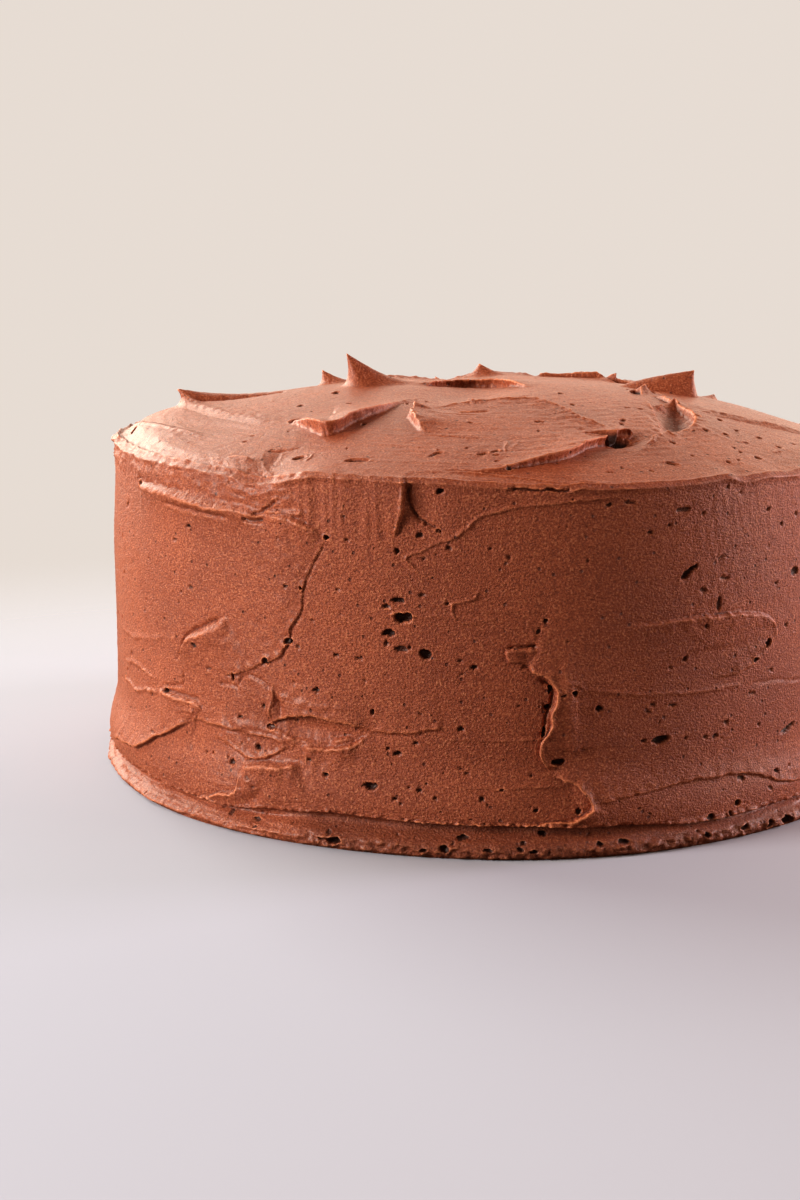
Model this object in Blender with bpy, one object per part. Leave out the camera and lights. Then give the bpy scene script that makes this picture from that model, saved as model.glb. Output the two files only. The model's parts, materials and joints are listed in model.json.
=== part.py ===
"""A tall round layer cake, uncut, under one rough coat of chocolate frosting.

Metres, +Z up. The origin is the middle of the flat underside and the front faces -Y. The sizes
below are in millimetres. An azimuth is an angle round the cake in degrees: 0 at the front,
growing to the right. Places on the side are (azimuth, height) and places on the top are (x, y).
"""

import math
import random
from collections import namedtuple

import bmesh
import bpy
import numpy as np
from mathutils import Matrix, Vector

MM = 0.001

# The body: three 203 mm layers under about 10 mm of frosting
SIDE_RADIUS = 111.0
RIM_HEIGHT = 95.3
RIM_ROUNDING = 2.2
DOME_RISE = 16.0

# The rough skirt at the foot, by azimuth: how far it stands out, and from what height it draws in
FOOT_REACHES = [(-180, 4.0), (-90, 3.0), (-40, 4.3), (0, 5.2), (45, 4.6), (120, 4.0), (180, 4.0)]
FOOT_SHOULDERS = [(-180, 1.5), (-90, 0.6), (-40, 1.4), (-20, 2.8), (25, 2.8), (60, 1.6), (180, 1.5)]
FOOT_SLOPE = 4.2
FOOT_EDGE_ROUNDING = 1.0

# The lower edge of the coat over the skirt, by azimuth, and how far it stands out
COAT_EDGES = [(-180, 7.0), (-60, 6.2), (-38, 5.6), (-28, 7.6), (-20, 8.6), (0, 8.0), (15, 7.2),
              (30, 5.6), (60, 6.0), (180, 7.0)]
COAT_REACH = 2.0
COAT_LIP = 1.0
COAT_SWELL = 3.0
COAT_FADE = 17.0

# Strokes on the side start above the skirt, and those on the top end inside the rim
STROKES_FROM, STROKES_FULL_FROM = 4.0, 9.0
TOP_STROKES_TO, TOP_STROKES_FULL_TO = SIDE_RADIUS - 1.0, SIDE_RADIUS - 9.0

# How far the rim is above or below its mean height, by azimuth
RIM_LIFTS = [(-180, 0.6), (-130, -0.5), (-80, 0.2), (-38, 1.2), (-31, -0.7), (-20, 1.3),
             (-7, 1.2), (0, 0.4), (12, -1.2), (20, -1.2), (32, -0.5), (47, -1.4), (90, 0.7),
             (135, -0.6), (180, 0.6)]
RIM_LIFT_RUN = 22.0
RIM_LIFT_DEPTH = 14.0

# Slow waves round the side: waves in a turn and how far they reach
BROAD_WAVES, BROAD_WAVE_REACH = 3, 0.45
NARROW_WAVES, NARROW_WAVE_REACH, NARROW_WAVE_TWIST = 7, 0.35, 1 / 21.0

# Fine enough to hold every stroke, before the flat stretches are thinned
SECTORS = 400
UNDERSIDE_RINGS = 8
SKIRT_TOP = 12.0
SKIRT_RINGS = 21
SIDE_RING_STEP = 1.5
TOP_RING_STEP = 1.8
FACES_KEPT = 10400

FROSTING_COLOUR = (0.16, 0.052, 0.030, 1.0)
FROSTING_ROUGHNESS = 0.48

# A knife stroke's edge: high on the left of its run, with a steep face on the right. It grows over
# its first share of length and dies away over its last.
Edge = namedtuple("Edge", "points rise run cliff grow die", defaults=(0.22, 0.22))

SIDE_EDGES = [
    # flap under the left rim
    Edge([(-22, 81), (-27, 84), (-38, 85), (-49, 87), (-60, 87)], 1.6, 26, 1.6),
    # right end of the left plate
    Edge([(-40, 41), (-31, 46.5), (-27, 56), (-25, 67), (-22, 80)], 0.9, 26, 1.5),
    # hooked stroke low on the left
    Edge([(-38, 56), (-42, 53.5), (-45.5, 49.5), (-49, 42)], 1.4, 18, 1.6),
    # ledge below the hook
    Edge([(-42, 30.5), (-47, 31), (-54, 32.5)], 1.3, 10, 1.6),
    # long slanting stroke, rising then level
    Edge([(-66, 12.5), (-58, 14.5), (-50, 22), (-44, 27.5), (-36, 27), (-26, 25.5)], 1.7, 18, 1.8),
    # hollow lens: its lip, then its floor's lower edge
    Edge([(-31, 29.5), (-27.5, 33.3), (-23, 34.2), (-16, 32), (-5, 32.8)], 1.5, 15, 1.7),
    Edge([(-14, 31.5), (-18, 28), (-23, 26.4), (-30, 28.3)], 1.1, 9, 1.6),
    # bright ledge under it
    Edge([(-24, 21.3), (-29, 19.2), (-36, 17.2)], 1.5, 12, 1.6),
    # lower edge of the low left plate
    Edge([(-34.5, 17), (-35.2, 12), (-38, 8.5), (-44, 6.4), (-53, 6)], 1.2, 14, 1.6),
    # upright ridge in the middle of the front
    Edge([(3, 53), (7, 49), (9.6, 42), (9, 34), (7.6, 28), (9, 21.5), (13.3, 17), (14, 11), (9, 8)],
         1.5, 14, 1.7),
    # long low stroke to its right
    Edge([(14.5, 13.3), (22, 15.4), (31, 17.2), (39, 16), (45, 12), (53, 10)], 1.0, 14, 1.5),
    # oval end of a stroke, upper right
    Edge([(27, 43.4), (38, 44.8), (42.2, 50), (41.5, 56), (34, 59.3), (16, 58)], 1.1, 15, 1.5),
    # short upright ridge that meets the rim
    Edge([(-12.3, 81), (-10.8, 86), (-10.5, 92), (-10.8, 97)], 1.6, 9, 1.6),
]

TOP_EDGES = [
    # ridge round the left shoulder
    Edge([(-76, -56), (-84, -46), (-93, -33), (-101, -18), (-104, 4)], 1.3, 12, 3.0),
    # long stroke that ends in the left curl
    Edge([(-91, 22), (-90, 5), (-84, -10), (-74, -28), (-62, -44), (-53, -51)], 2.6, 20, 3.2, 0.3, 0.3),
    # pointed lip, front left
    Edge([(-55, -47), (-49, -56), (-42, -67), (-37, -59), (-30, -50), (-20, -30)], 3.8, 15, 2.2, 0.3, 0.5),
    # front plateau: its left end, its back edge and its right front edge
    Edge([(-18, -49), (-20.5, -57), (-18, -66), (-16, -77)], 2.6, 16, 2.2),
    Edge([(33, -68), (26, -61), (20, -50), (13, -41), (2, -42), (-9, -46), (-18, -51)], 1.7, 20, 2.6),
    Edge([(-10, -103.5), (4, -101), (15, -95), (24, -85), (30, -76), (35, -69)], 3.6, 16, 2.2, 0.85, 0.1),
    # arching flap at the middle, open to the front
    Edge([(-20, -8), (-16, 3), (-5, 8), (5, 4), (15, -10)], 3.4, 18, 2.3),
    # ridge round the right scoop
    Edge([(47, -8), (56, -30), (58.5, -44), (55, -58), (45, -71), (38, -87)], 2.4, 9, 2.2),
    # step that runs out to the right
    Edge([(56, -37), (66, -32), (78, -30), (95, -27)], 2.2, 22, 2.6),
    # strip along the back of the crown
    Edge([(16, 52), (30, 51), (42, 48), (52, 42)], 2.6, 12, 2.2),
]

# A hollow or a swelling: middle, half length, half width, the way its length runs, and its rise
Mound = namedtuple("Mound", "centre length width turn rise")

TOP_MOUNDS = [
    # floor in front of the middle flap
    Mound((-4, -17), 22, 12, 80, -3.4),
    # right scoop's floor
    Mound((52, -45), 18, 5.5, 85, -2.8),
    # high ground left of the middle, behind the long stroke
    Mound((-62, 4), 42, 30, 12, 2.4),
    # full left shoulder
    Mound((-95, 10), 55, 14, 95, 2.3),
    # mouth under the front plateau's curl
    Mound((33, -77), 9, 5, 40, -1.8),
]

SIDE_MOUNDS = [
    # hollow left of the upright ridge
    Mound((6.6, 39), 11, 3.6, 92, -1.5),
    # hollow right of the short upright ridge
    Mound((-8.4, 89), 8, 5, 95, -1.3),
    # floor of the lens
    Mound((-23, 30), 18, 3.0, -3, -1.2),
    # swelling just above the groove, left
    Mound((-64, 14), 45, 7, 3, 1.3),
]

# A drawn-up peak: foot, height, reach along its back, reach along its steep face, half thickness,
# the way its back runs down, and how far its tip hangs over the steep face
Peak = namedtuple("Peak", "foot height back face thickness turn lean")

PEAKS = [
    Peak((-38, -1), 9.6, 25, 7, 9.5, 12, 3.6),
    Peak((-50, 28), 5.4, 15, 5, 6.5, -10, 2.0),
    Peak((-89, 4), 3.8, 34, 6, 11, 8, 4.0),
    Peak((-4, 46), 6.4, 13, 6, 7, -5, 1.8),
    Peak((3, 49), 3.6, 10, 5, 5, 0, 1.0),
    Peak((61, 12), 8.0, 15, 4, 8, 184, 1.8),
    Peak((52, -26), 5.2, 12, 4, 5, 250, 1.2),
    Peak((46, -5), 4.4, 11, 4, 5, 240, 1.2),
    Peak((-17, 3), 3.6, 12, 4, 6, 20, 1.4),
    Peak((-19, -53), 2.2, 10, 3.5, 5, -20, 1.0),
    Peak((35, -70), 2.4, 10, 3.5, 5, 215, 2.0),
    Peak((20, 51), 2.8, 12, 4, 5, -5, 1.0),
]

# The far side and the far part of the top, finished like what shows
HIDDEN_SEED = 11
HIDDEN_FROM = 62
HIDDEN_TO = 268
HIDDEN_SIDE_STROKES = 15
UPRIGHT_EVERY = 5
HIDDEN_SIDE_HEIGHTS = (14, 84)
HIDDEN_SIDE_RISES = (0.8, 1.5)
HIDDEN_TOP_STROKES = 6
HIDDEN_TOP_RADII = (48, 96)
HIDDEN_TOP_RISES = (1.2, 2.6)
HIDDEN_TOP_TURN = 38
HIDDEN_RUNS = (10, 24)
HIDDEN_PEAKS = 4
HIDDEN_PEAK_RADII = (62, 90)
HIDDEN_PEAK_HEIGHTS = (2.6, 4.6)
# the far part of the top, as angles from +X round to -X
FAR_TOP_FROM, FAR_TOP_TO = 25, 150


def ease(low, high, value):
    """0 below low, 1 above high, smooth between."""
    t = np.clip((value - low) / (high - low), 0.0, 1.0)
    return t * t * (3.0 - 2.0 * t)


def smooth_curve(points, per_span=6):
    """Places along a smooth curve through the given ones."""
    p = np.array([points[0]] + list(points) + [points[-1]], dtype=float)
    curve = []
    for i in range(1, len(p) - 2):
        for t in np.linspace(0.0, 1.0, per_span, endpoint=False):
            curve.append(0.5 * (2 * p[i] + (p[i + 1] - p[i - 1]) * t
                                + (2 * p[i - 1] - 5 * p[i] + 4 * p[i + 1] - p[i + 2]) * t ** 2
                                + (3 * p[i] - p[i - 1] - 3 * p[i + 1] + p[i + 2]) * t ** 3))
    curve.append(p[-2])
    return np.array(curve)


def against_curve(curve, u, v):
    """Each place's distance from a curve, positive on the left of its run, and its share along it."""
    nearest = np.full(u.shape, np.inf)
    side = np.ones(u.shape)
    share = np.zeros(u.shape)
    lengths = np.hypot(*np.diff(curve, axis=0).T)
    starts = np.concatenate([[0.0], np.cumsum(lengths)])
    for i, length in enumerate(lengths):
        du, dv = (curve[i + 1] - curve[i]) / length
        pu, pv = u - curve[i, 0], v - curve[i, 1]
        along = np.clip(pu * du + pv * dv, 0.0, length)
        gap = np.hypot(pu - along * du, pv - along * dv)
        closer = gap < nearest
        nearest = np.where(closer, gap, nearest)
        side = np.where(closer, np.sign(du * pv - dv * pu), side)
        share = np.where(closer, (starts[i] + along) / starts[-1], share)
    return nearest * side, share


def edge_relief(edge, u, v):
    """Height left by one stroke: full at its edge, fading over its run, and a steep face outside."""
    gap, share = against_curve(smooth_curve(edge.points), u, v)
    ends = ease(0.0, edge.grow, share) * ease(0.0, edge.die, 1.0 - share)
    fade = np.where(gap > 0.0, np.exp(-np.abs(gap) / edge.run), np.exp(-(gap / edge.cliff) ** 2))
    return edge.rise * ends * fade


def turned(u, v, centre, turn):
    """Places in a mound's or peak's own axes."""
    c, s = math.cos(math.radians(turn)), math.sin(math.radians(turn))
    pu, pv = u - centre[0], v - centre[1]
    return pu * c + pv * s, pv * c - pu * s


def mound_relief(mound, u, v):
    along, across = turned(u, v, mound.centre, mound.turn)
    return mound.rise * np.exp(-(along / mound.length) ** 2 - (across / mound.width) ** 2)


def peak_relief(peak, x, y):
    """A peak's height, and how far it hangs over along X and along Y."""
    along, across = turned(x, y, peak.foot, peak.turn)
    reach = np.where(along > 0, peak.back, peak.face)
    near = np.clip(1.0 - np.hypot(along / reach, across / peak.thickness), 0.0, 1.0)
    rise = peak.height * near ** 2.1
    hang = -peak.lean * near ** 2.6
    turn = math.radians(peak.turn)
    return rise, hang * math.cos(turn), hang * math.sin(turn)


def arc_length(azimuth):
    return np.radians(azimuth) * SIDE_RADIUS


def arc_from(middle, azimuth):
    """Lengths along the side from a middle azimuth, the short way round."""
    return arc_length((azimuth - middle + 180.0) % 360.0 - 180.0)


def hidden_side_edges(rng):
    """Strokes for the far side: mostly level sweeps, and an upright one now and then."""
    edges = []
    for i in range(HIDDEN_SIDE_STROKES):
        start = HIDDEN_FROM + (HIDDEN_TO - HIDDEN_FROM) * (i + rng.random()) / HIDDEN_SIDE_STROKES
        height = rng.uniform(*HIDDEN_SIDE_HEIGHTS)
        span = rng.uniform(12, 26)
        slant = rng.uniform(-9, 9)
        bow = rng.uniform(-5, 5)
        if i % UPRIGHT_EVERY == 2:
            span, slant = rng.uniform(-4, 4), rng.uniform(20, 34)
            height = min(height, HIDDEN_SIDE_HEIGHTS[1] - slant)
        points = [(start + span * t, height + slant * t + bow * math.sin(math.pi * t))
                  for t in (0.0, 0.35, 0.7, 1.0)]
        if rng.random() < 0.5:
            points.reverse()
        edges.append(Edge(points, rng.uniform(*HIDDEN_SIDE_RISES), rng.uniform(*HIDDEN_RUNS), 1.6))
    return edges


def hidden_top_edges(rng):
    """Arcs of strokes over the far part of the top."""
    edges = []
    for i in range(HIDDEN_TOP_STROKES):
        radius = rng.uniform(*HIDDEN_TOP_RADII)
        start = FAR_TOP_FROM + (FAR_TOP_TO - FAR_TOP_FROM) * (i + 0.6 * rng.random()) / HIDDEN_TOP_STROKES
        drift = rng.uniform(-10, 10)
        points = []
        for t in (0.0, 0.33, 0.67, 1.0):
            angle = math.radians(start + HIDDEN_TOP_TURN * t)
            r = radius + drift * t
            points.append((r * math.cos(angle), r * math.sin(angle)))
        edges.append(Edge(points, rng.uniform(*HIDDEN_TOP_RISES), rng.uniform(*HIDDEN_RUNS), 2.4))
    return edges


def hidden_peaks(rng):
    """Small drawn-up tips over the far part of the top."""
    peaks = []
    for i in range(HIDDEN_PEAKS):
        angle = FAR_TOP_FROM + (FAR_TOP_TO - FAR_TOP_FROM) * (i + 0.7 * rng.random()) / HIDDEN_PEAKS
        angle = math.radians(angle)
        radius = rng.uniform(*HIDDEN_PEAK_RADII)
        height = rng.uniform(*HIDDEN_PEAK_HEIGHTS)
        foot = (radius * math.cos(angle), radius * math.sin(angle))
        peaks.append(Peak(foot, height, 14, 4.5, 6, rng.uniform(0, 360), 1.4))
    return peaks


def side_relief(azimuth, height, edges, mounds):
    """How far the side stands out past its mean radius."""
    shoulder = np.interp(azimuth, *zip(*FOOT_SHOULDERS))
    foot = np.interp(azimuth, *zip(*FOOT_REACHES))
    foot *= 1.0 - ease(shoulder, shoulder + FOOT_SLOPE, height)
    foot -= FOOT_EDGE_ROUNDING * (1.0 - ease(0.0, FOOT_EDGE_ROUNDING, height))
    coat_edge = np.interp(azimuth, *zip(*COAT_EDGES))
    coat = COAT_REACH * ease(coat_edge - COAT_LIP, coat_edge + COAT_LIP, height)
    coat *= 1.0 - ease(coat_edge + COAT_SWELL, coat_edge + COAT_FADE, height)
    waves = BROAD_WAVE_REACH * np.sin(np.radians(BROAD_WAVES * azimuth))
    waves += NARROW_WAVE_REACH * np.sin(np.radians(NARROW_WAVES * azimuth) + height * NARROW_WAVE_TWIST)
    total = foot + coat + waves
    clear = ease(STROKES_FROM, STROKES_FULL_FROM, height)
    for edge in edges:
        middle = sum(a for a, _ in edge.points) / len(edge.points)
        placed = edge._replace(points=[(arc_length(a - middle), z) for a, z in edge.points])
        total = total + clear * edge_relief(placed, arc_from(middle, azimuth), height)
    for mound in mounds:
        placed = mound._replace(centre=(0.0, mound.centre[1]))
        total = total + clear * mound_relief(placed, arc_from(mound.centre[0], azimuth), height)
    return total


def top_relief(x, y, edges, mounds, peaks):
    """How far the top stands above the plain dome, and how far its peaks hang over."""
    rise = np.zeros(x.shape)
    hang_x = np.zeros(x.shape)
    hang_y = np.zeros(x.shape)
    inside = 1.0 - ease(TOP_STROKES_FULL_TO, TOP_STROKES_TO, np.hypot(x, y))
    for edge in edges:
        rise += edge_relief(edge, x, y)
    for mound in mounds:
        rise += mound_relief(mound, x, y)
    rise *= inside
    for peak in peaks:
        up, lean_x, lean_y = peak_relief(peak, x, y)
        rise += up
        hang_x += lean_x
        hang_y += lean_y
    return rise, hang_x, hang_y


def plain_profile():
    """Half outline of the plain cake in the XZ plane, from the middle of the underside outward,
    up the side, round the rim and in to the middle of the top."""
    outline = [(r, 0.0) for r in np.linspace(0.0, SIDE_RADIUS, UNDERSIDE_RINGS + 1)]
    side_top = RIM_HEIGHT - RIM_ROUNDING
    outline += [(SIDE_RADIUS, z) for z in np.linspace(0.0, SKIRT_TOP, SKIRT_RINGS + 1)[1:]]
    rings = int((side_top - SKIRT_TOP) / SIDE_RING_STEP)
    outline += [(SIDE_RADIUS, z) for z in np.linspace(SKIRT_TOP, side_top, rings + 1)[1:]]
    inner = SIDE_RADIUS - RIM_ROUNDING
    for turn in (22.5, 45.0, 67.5):
        a = math.radians(turn)
        outline.append((inner + RIM_ROUNDING * math.cos(a), side_top + RIM_ROUNDING * math.sin(a)))
    rings = int(inner / TOP_RING_STEP)
    for r in np.linspace(inner, 0.0, rings + 1):
        outline.append((r, RIM_HEIGHT + DOME_RISE * (1.0 - (r / inner) ** 2)))
    return outline


def turn_profile(outline):
    """The plain cake, turned round Z."""
    bm = bmesh.new()
    verts = [bm.verts.new((r, 0.0, z)) for r, z in outline]
    edges = [bm.edges.new(pair) for pair in zip(verts, verts[1:])]
    bmesh.ops.spin(bm, geom=verts + edges, cent=(0, 0, 0), axis=(0, 0, 1),
                   angle=math.tau, steps=SECTORS, use_merge=True)
    bmesh.ops.remove_doubles(bm, verts=bm.verts, dist=0.01)
    bmesh.ops.recalc_face_normals(bm, faces=bm.faces)
    return bm


def work_surface(bm):
    """Push the plain cake's surface into the coat's real relief."""
    places = np.array([v.co for v in bm.verts])
    x, y, z = places.T
    radius = np.maximum(np.hypot(x, y), 1e-6)
    azimuth = np.degrees(np.arctan2(x, -y))
    rng = random.Random(HIDDEN_SEED)
    side_edges = SIDE_EDGES + hidden_side_edges(rng)
    top_edges = TOP_EDGES + hidden_top_edges(rng)
    peaks = PEAKS + hidden_peaks(rng)

    # the side's relief dies away over the outer part of the top and of the underside
    out = side_relief(azimuth, np.minimum(z, RIM_HEIGHT), side_edges, SIDE_MOUNDS)
    out *= ease(TOP_STROKES_FULL_TO, SIDE_RADIUS, radius)
    rise, hang_x, hang_y = top_relief(x, y, top_edges, TOP_MOUNDS, peaks)
    rise *= ease(RIM_HEIGHT - RIM_LIFT_DEPTH / 2, RIM_HEIGHT, z)
    lift = np.interp(azimuth, *zip(*RIM_LIFTS))
    lift *= ease(RIM_HEIGHT - RIM_LIFT_DEPTH, RIM_HEIGHT, z)
    lift *= np.exp(-(SIDE_RADIUS - radius) / RIM_LIFT_RUN)

    moved = np.stack([x + out * x / radius + hang_x, y + out * y / radius + hang_y, z + rise + lift], axis=1)
    moved[z < 1e-6, 2] = 0.0
    for vert, place in zip(bm.verts, moved):
        vert.co = place


def frosting_material():
    material = bpy.data.materials.new("chocolate frosting")
    material.use_nodes = True
    shader = material.node_tree.nodes["Principled BSDF"]
    shader.inputs["Base Color"].default_value = FROSTING_COLOUR
    shader.inputs["Roughness"].default_value = FROSTING_ROUGHNESS
    shader.inputs["Metallic"].default_value = 0.0
    return material


def thinned(cake):
    """The cake's mesh with its flat stretches thinned to fewer faces, centred over the origin."""
    faces = sum(len(p.vertices) - 2 for p in cake.data.polygons)
    thin = cake.modifiers.new("thin the flat stretches", "DECIMATE")
    thin.ratio = FACES_KEPT / faces
    thin.use_collapse_triangulate = True
    mesh = bpy.data.meshes.new_from_object(cake.evaluated_get(bpy.context.evaluated_depsgraph_get()))
    corners = np.array([v.co for v in mesh.vertices])
    middle = (corners.min(axis=0) + corners.max(axis=0)) / 2.0
    mesh.transform(Matrix.Translation(Vector((-middle[0], -middle[1], -corners[:, 2].min()))))
    mesh.transform(Matrix.Scale(MM, 4))
    return mesh


def make_cake(collection):
    bm = turn_profile(plain_profile())
    work_surface(bm)
    full = bpy.data.meshes.new("full relief")
    bm.to_mesh(full)
    bm.free()
    cake = bpy.data.objects.new("cake", full)
    collection.objects.link(cake)
    bpy.context.view_layer.update()
    mesh = thinned(cake)
    cake.modifiers.clear()
    cake.data = mesh
    bpy.data.meshes.remove(full)
    mesh.name = "cake"
    mesh.materials.clear()
    mesh.materials.append(frosting_material())
    mesh.shade_smooth()
    mesh.set_sharp_from_angle(angle=math.radians(50))
    return cake


for old in list(bpy.data.objects):
    bpy.data.objects.remove(old, do_unlink=True)
layer_cake = bpy.data.collections.new("layer cake")
bpy.context.scene.collection.children.link(layer_cake)
make_cake(layer_cake)
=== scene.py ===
# A tall round layer cake, uncut, under one rough coat of chocolate frosting. The coat is drawn up
# from a ring, closed over with a round grid, and then worked like clay: knife strokes, folds, curls,
# drawn-up peaks, burst bubbles and the grain of the frosting. Lengths in the tables are millimetres.
# Places on the side are (degrees round the cake from the front, height), on the top they are (x, y).

import itertools
import json
import math
import random
from collections import namedtuple

import bpy
import numpy as np
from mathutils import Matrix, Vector

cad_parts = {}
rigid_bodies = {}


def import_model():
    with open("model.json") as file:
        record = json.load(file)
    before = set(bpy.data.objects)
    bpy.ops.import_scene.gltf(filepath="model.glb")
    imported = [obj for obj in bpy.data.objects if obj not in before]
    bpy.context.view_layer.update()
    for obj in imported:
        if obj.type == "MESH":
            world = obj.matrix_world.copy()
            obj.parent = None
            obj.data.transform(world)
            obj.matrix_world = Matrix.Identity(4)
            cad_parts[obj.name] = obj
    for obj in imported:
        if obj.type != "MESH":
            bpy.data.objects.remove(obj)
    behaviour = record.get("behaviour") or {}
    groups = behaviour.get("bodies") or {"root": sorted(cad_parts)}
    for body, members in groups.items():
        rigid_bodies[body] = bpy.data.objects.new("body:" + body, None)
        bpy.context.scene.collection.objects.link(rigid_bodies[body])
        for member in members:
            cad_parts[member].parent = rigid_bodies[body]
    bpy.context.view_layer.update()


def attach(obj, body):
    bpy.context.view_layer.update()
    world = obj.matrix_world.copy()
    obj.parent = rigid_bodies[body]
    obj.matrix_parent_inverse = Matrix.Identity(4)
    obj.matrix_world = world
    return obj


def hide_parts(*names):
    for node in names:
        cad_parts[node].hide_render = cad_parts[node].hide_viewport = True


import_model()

MM = 0.001

# The plain cake
SIDE_RADIUS = 111.0
RIM_HEIGHT = 95.3
RIM_ROUNDING = 1.3
DOME_RISE = 16.0
SKIRT_TOP = 12.0

# How finely the coat is cut up before it is worked, and again round its strokes and bubbles
SECTORS = 1440
RING_STEP = 0.5
SKIRT_RING_STEP = 0.35
RIM_TURNS = (15, 30, 45, 60, 75, 90)
UNDERSIDE_RADII = (106.0, 60.0, 20.0)
FINE_REACH, FINE_TOP_REACH, FINE_PEAK_REACH = 1.3, 1.56, 4.5
BUBBLE_REACH, BUBBLE_MARGIN = 1.3, 0.2

# The rough skirt at the foot, by azimuth: how far it stands out, and from what height it draws in
FOOT_REACHES = [(-180, 4), (-90, 3), (-40, 4.3), (0, 5.2), (45, 4.6), (120, 4), (180, 4)]
FOOT_SHOULDERS = [(-180, 1.5), (-90, 0.6), (-40, 1.4), (-20, 2.8), (25, 2.8), (60, 1.6), (180, 1.5)]
FOOT_SLOPE = 4.2
FOOT_EDGE_ROUNDING = 1.0

# The lower edge of the coat over the skirt
COAT_EDGES = [(-180, 7), (-60, 6.2), (-38, 5.6), (-28, 7.6), (-20, 8.6), (0, 8), (15, 7.2), (30, 5.6),
              (60, 6), (180, 7)]
COAT_REACH = 2.0
COAT_LIP = 0.35
COAT_SWELL = 3.0
COAT_FADE = 17.0

# Strokes stay off the skirt and off the outermost part of the top
STROKES_FROM, STROKES_FULL_FROM = 4.0, 9.0
TOP_STROKES_TO, TOP_STROKES_FULL_TO = SIDE_RADIUS - 1.0, SIDE_RADIUS - 9.0

# How far a thing on the side is looked for, along the side from its middle, and above the rim
STROKE_SPAN, PIT_SPAN, SIDE_OVER_RIM = 90.0, 5.0, 3.0

# Below this height a place belongs to the flat underside
FLAT = 1e-4

# How far the rim rises or sinks, by azimuth, and the short notches in it
RIM_LIFTS = [(-180, 0.6), (-130, -0.5), (-85, 1.2), (-50, 1), (-38, 0.4), (-32, -1), (-22, 1.5),
             (-7, 1.1), (2, 0.1), (10, -0.3), (17, -0.6), (24, -0.45), (30, -0.4), (40, -0.3),
             (47, -0.9), (60, 0.1), (90, -0.9), (115, -1.7), (140, -1.1), (180, 0.6)]
RIM_LIFT_RUN, RIM_LIFT_DEPTH = 14.0, 14.0
RIM_NOTCHES = [(-180, 0), (-37, 0), (-34, -0.5), (-31, 0), (9.5, 0), (11, -0.35), (12.5, 0.25),
               (15, 0), (27, 0), (33.6, 0.9), (36.2, -0.45), (41, 0), (180, 0)]
RIM_NOTCH_RUN = 3.5

# The thin lip that the knife leaves along the rim, and the worn shoulder of the left rim
LIP_OUT, LIP_UP, LIP_WIDTH, LIP_PLACE = 0.72, 0.62, 0.5, 0.8 * RIM_ROUNDING
WORN_FROM, WORN_TO, WORN_SOFT = -74, -31, 7
WORN_IN, WORN_DOWN, WORN_RUN = 1.5, 0.7, 3.2
LEFT_IN = 1.4

# How a stroke's height is shared out: a short steep lip, and a long plate that ends softly
PLATE_SHARE, PLATE_END, PLATE_FADE, LIP_RUN = 0.45, 0.42, (2.2, 3.0), 6.0
BEAD_SHARE, BEAD_PLACE, BEAD_WIDTH = 0.5, 0.25, 0.35
CREASE_DEPTH, CREASE_PLACE, CREASE_WIDTH = 0.16, 1.5, 0.4
LEAN_RUN, LEAN_FACE = 1.6, 1.4
EDGE_UNEVENNESS, LINE_UNEVENNESS = 0.22, 0.3
LINE_ENDS = 0.15

# A bubble's bowl and the low rim round it, and how strong the painted shade is at the foot and in slits
BOWL_DEPTH, BOWL_SHAPE, BOWL_ROUNDING = 1.15, 4, 0.7
PIT_RIM_RISE, PIT_RIM_PLACE, PIT_RIM_WIDTH = 0.12, 1.2, 0.2
FOOT_SHADE, LINE_SHADE = 0.5, 0.55

# Slow waves round the side
BROAD_WAVES, BROAD_WAVE_REACH = 3, 0.45
NARROW_WAVES, NARROW_WAVE_REACH, NARROW_WAVE_TWIST = 7, 0.35, 1 / 21.0

# A knife stroke's edge, high on the left of its run with a steep face on the right. It grows over its
# first share of length and dies away over its last. Its lip leans out over the steep face.
Stroke = namedtuple("Stroke", "points rise run cliff grow die lean bead",
                    defaults=(0.22, 0.22, 0.0, 0.0))

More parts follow.
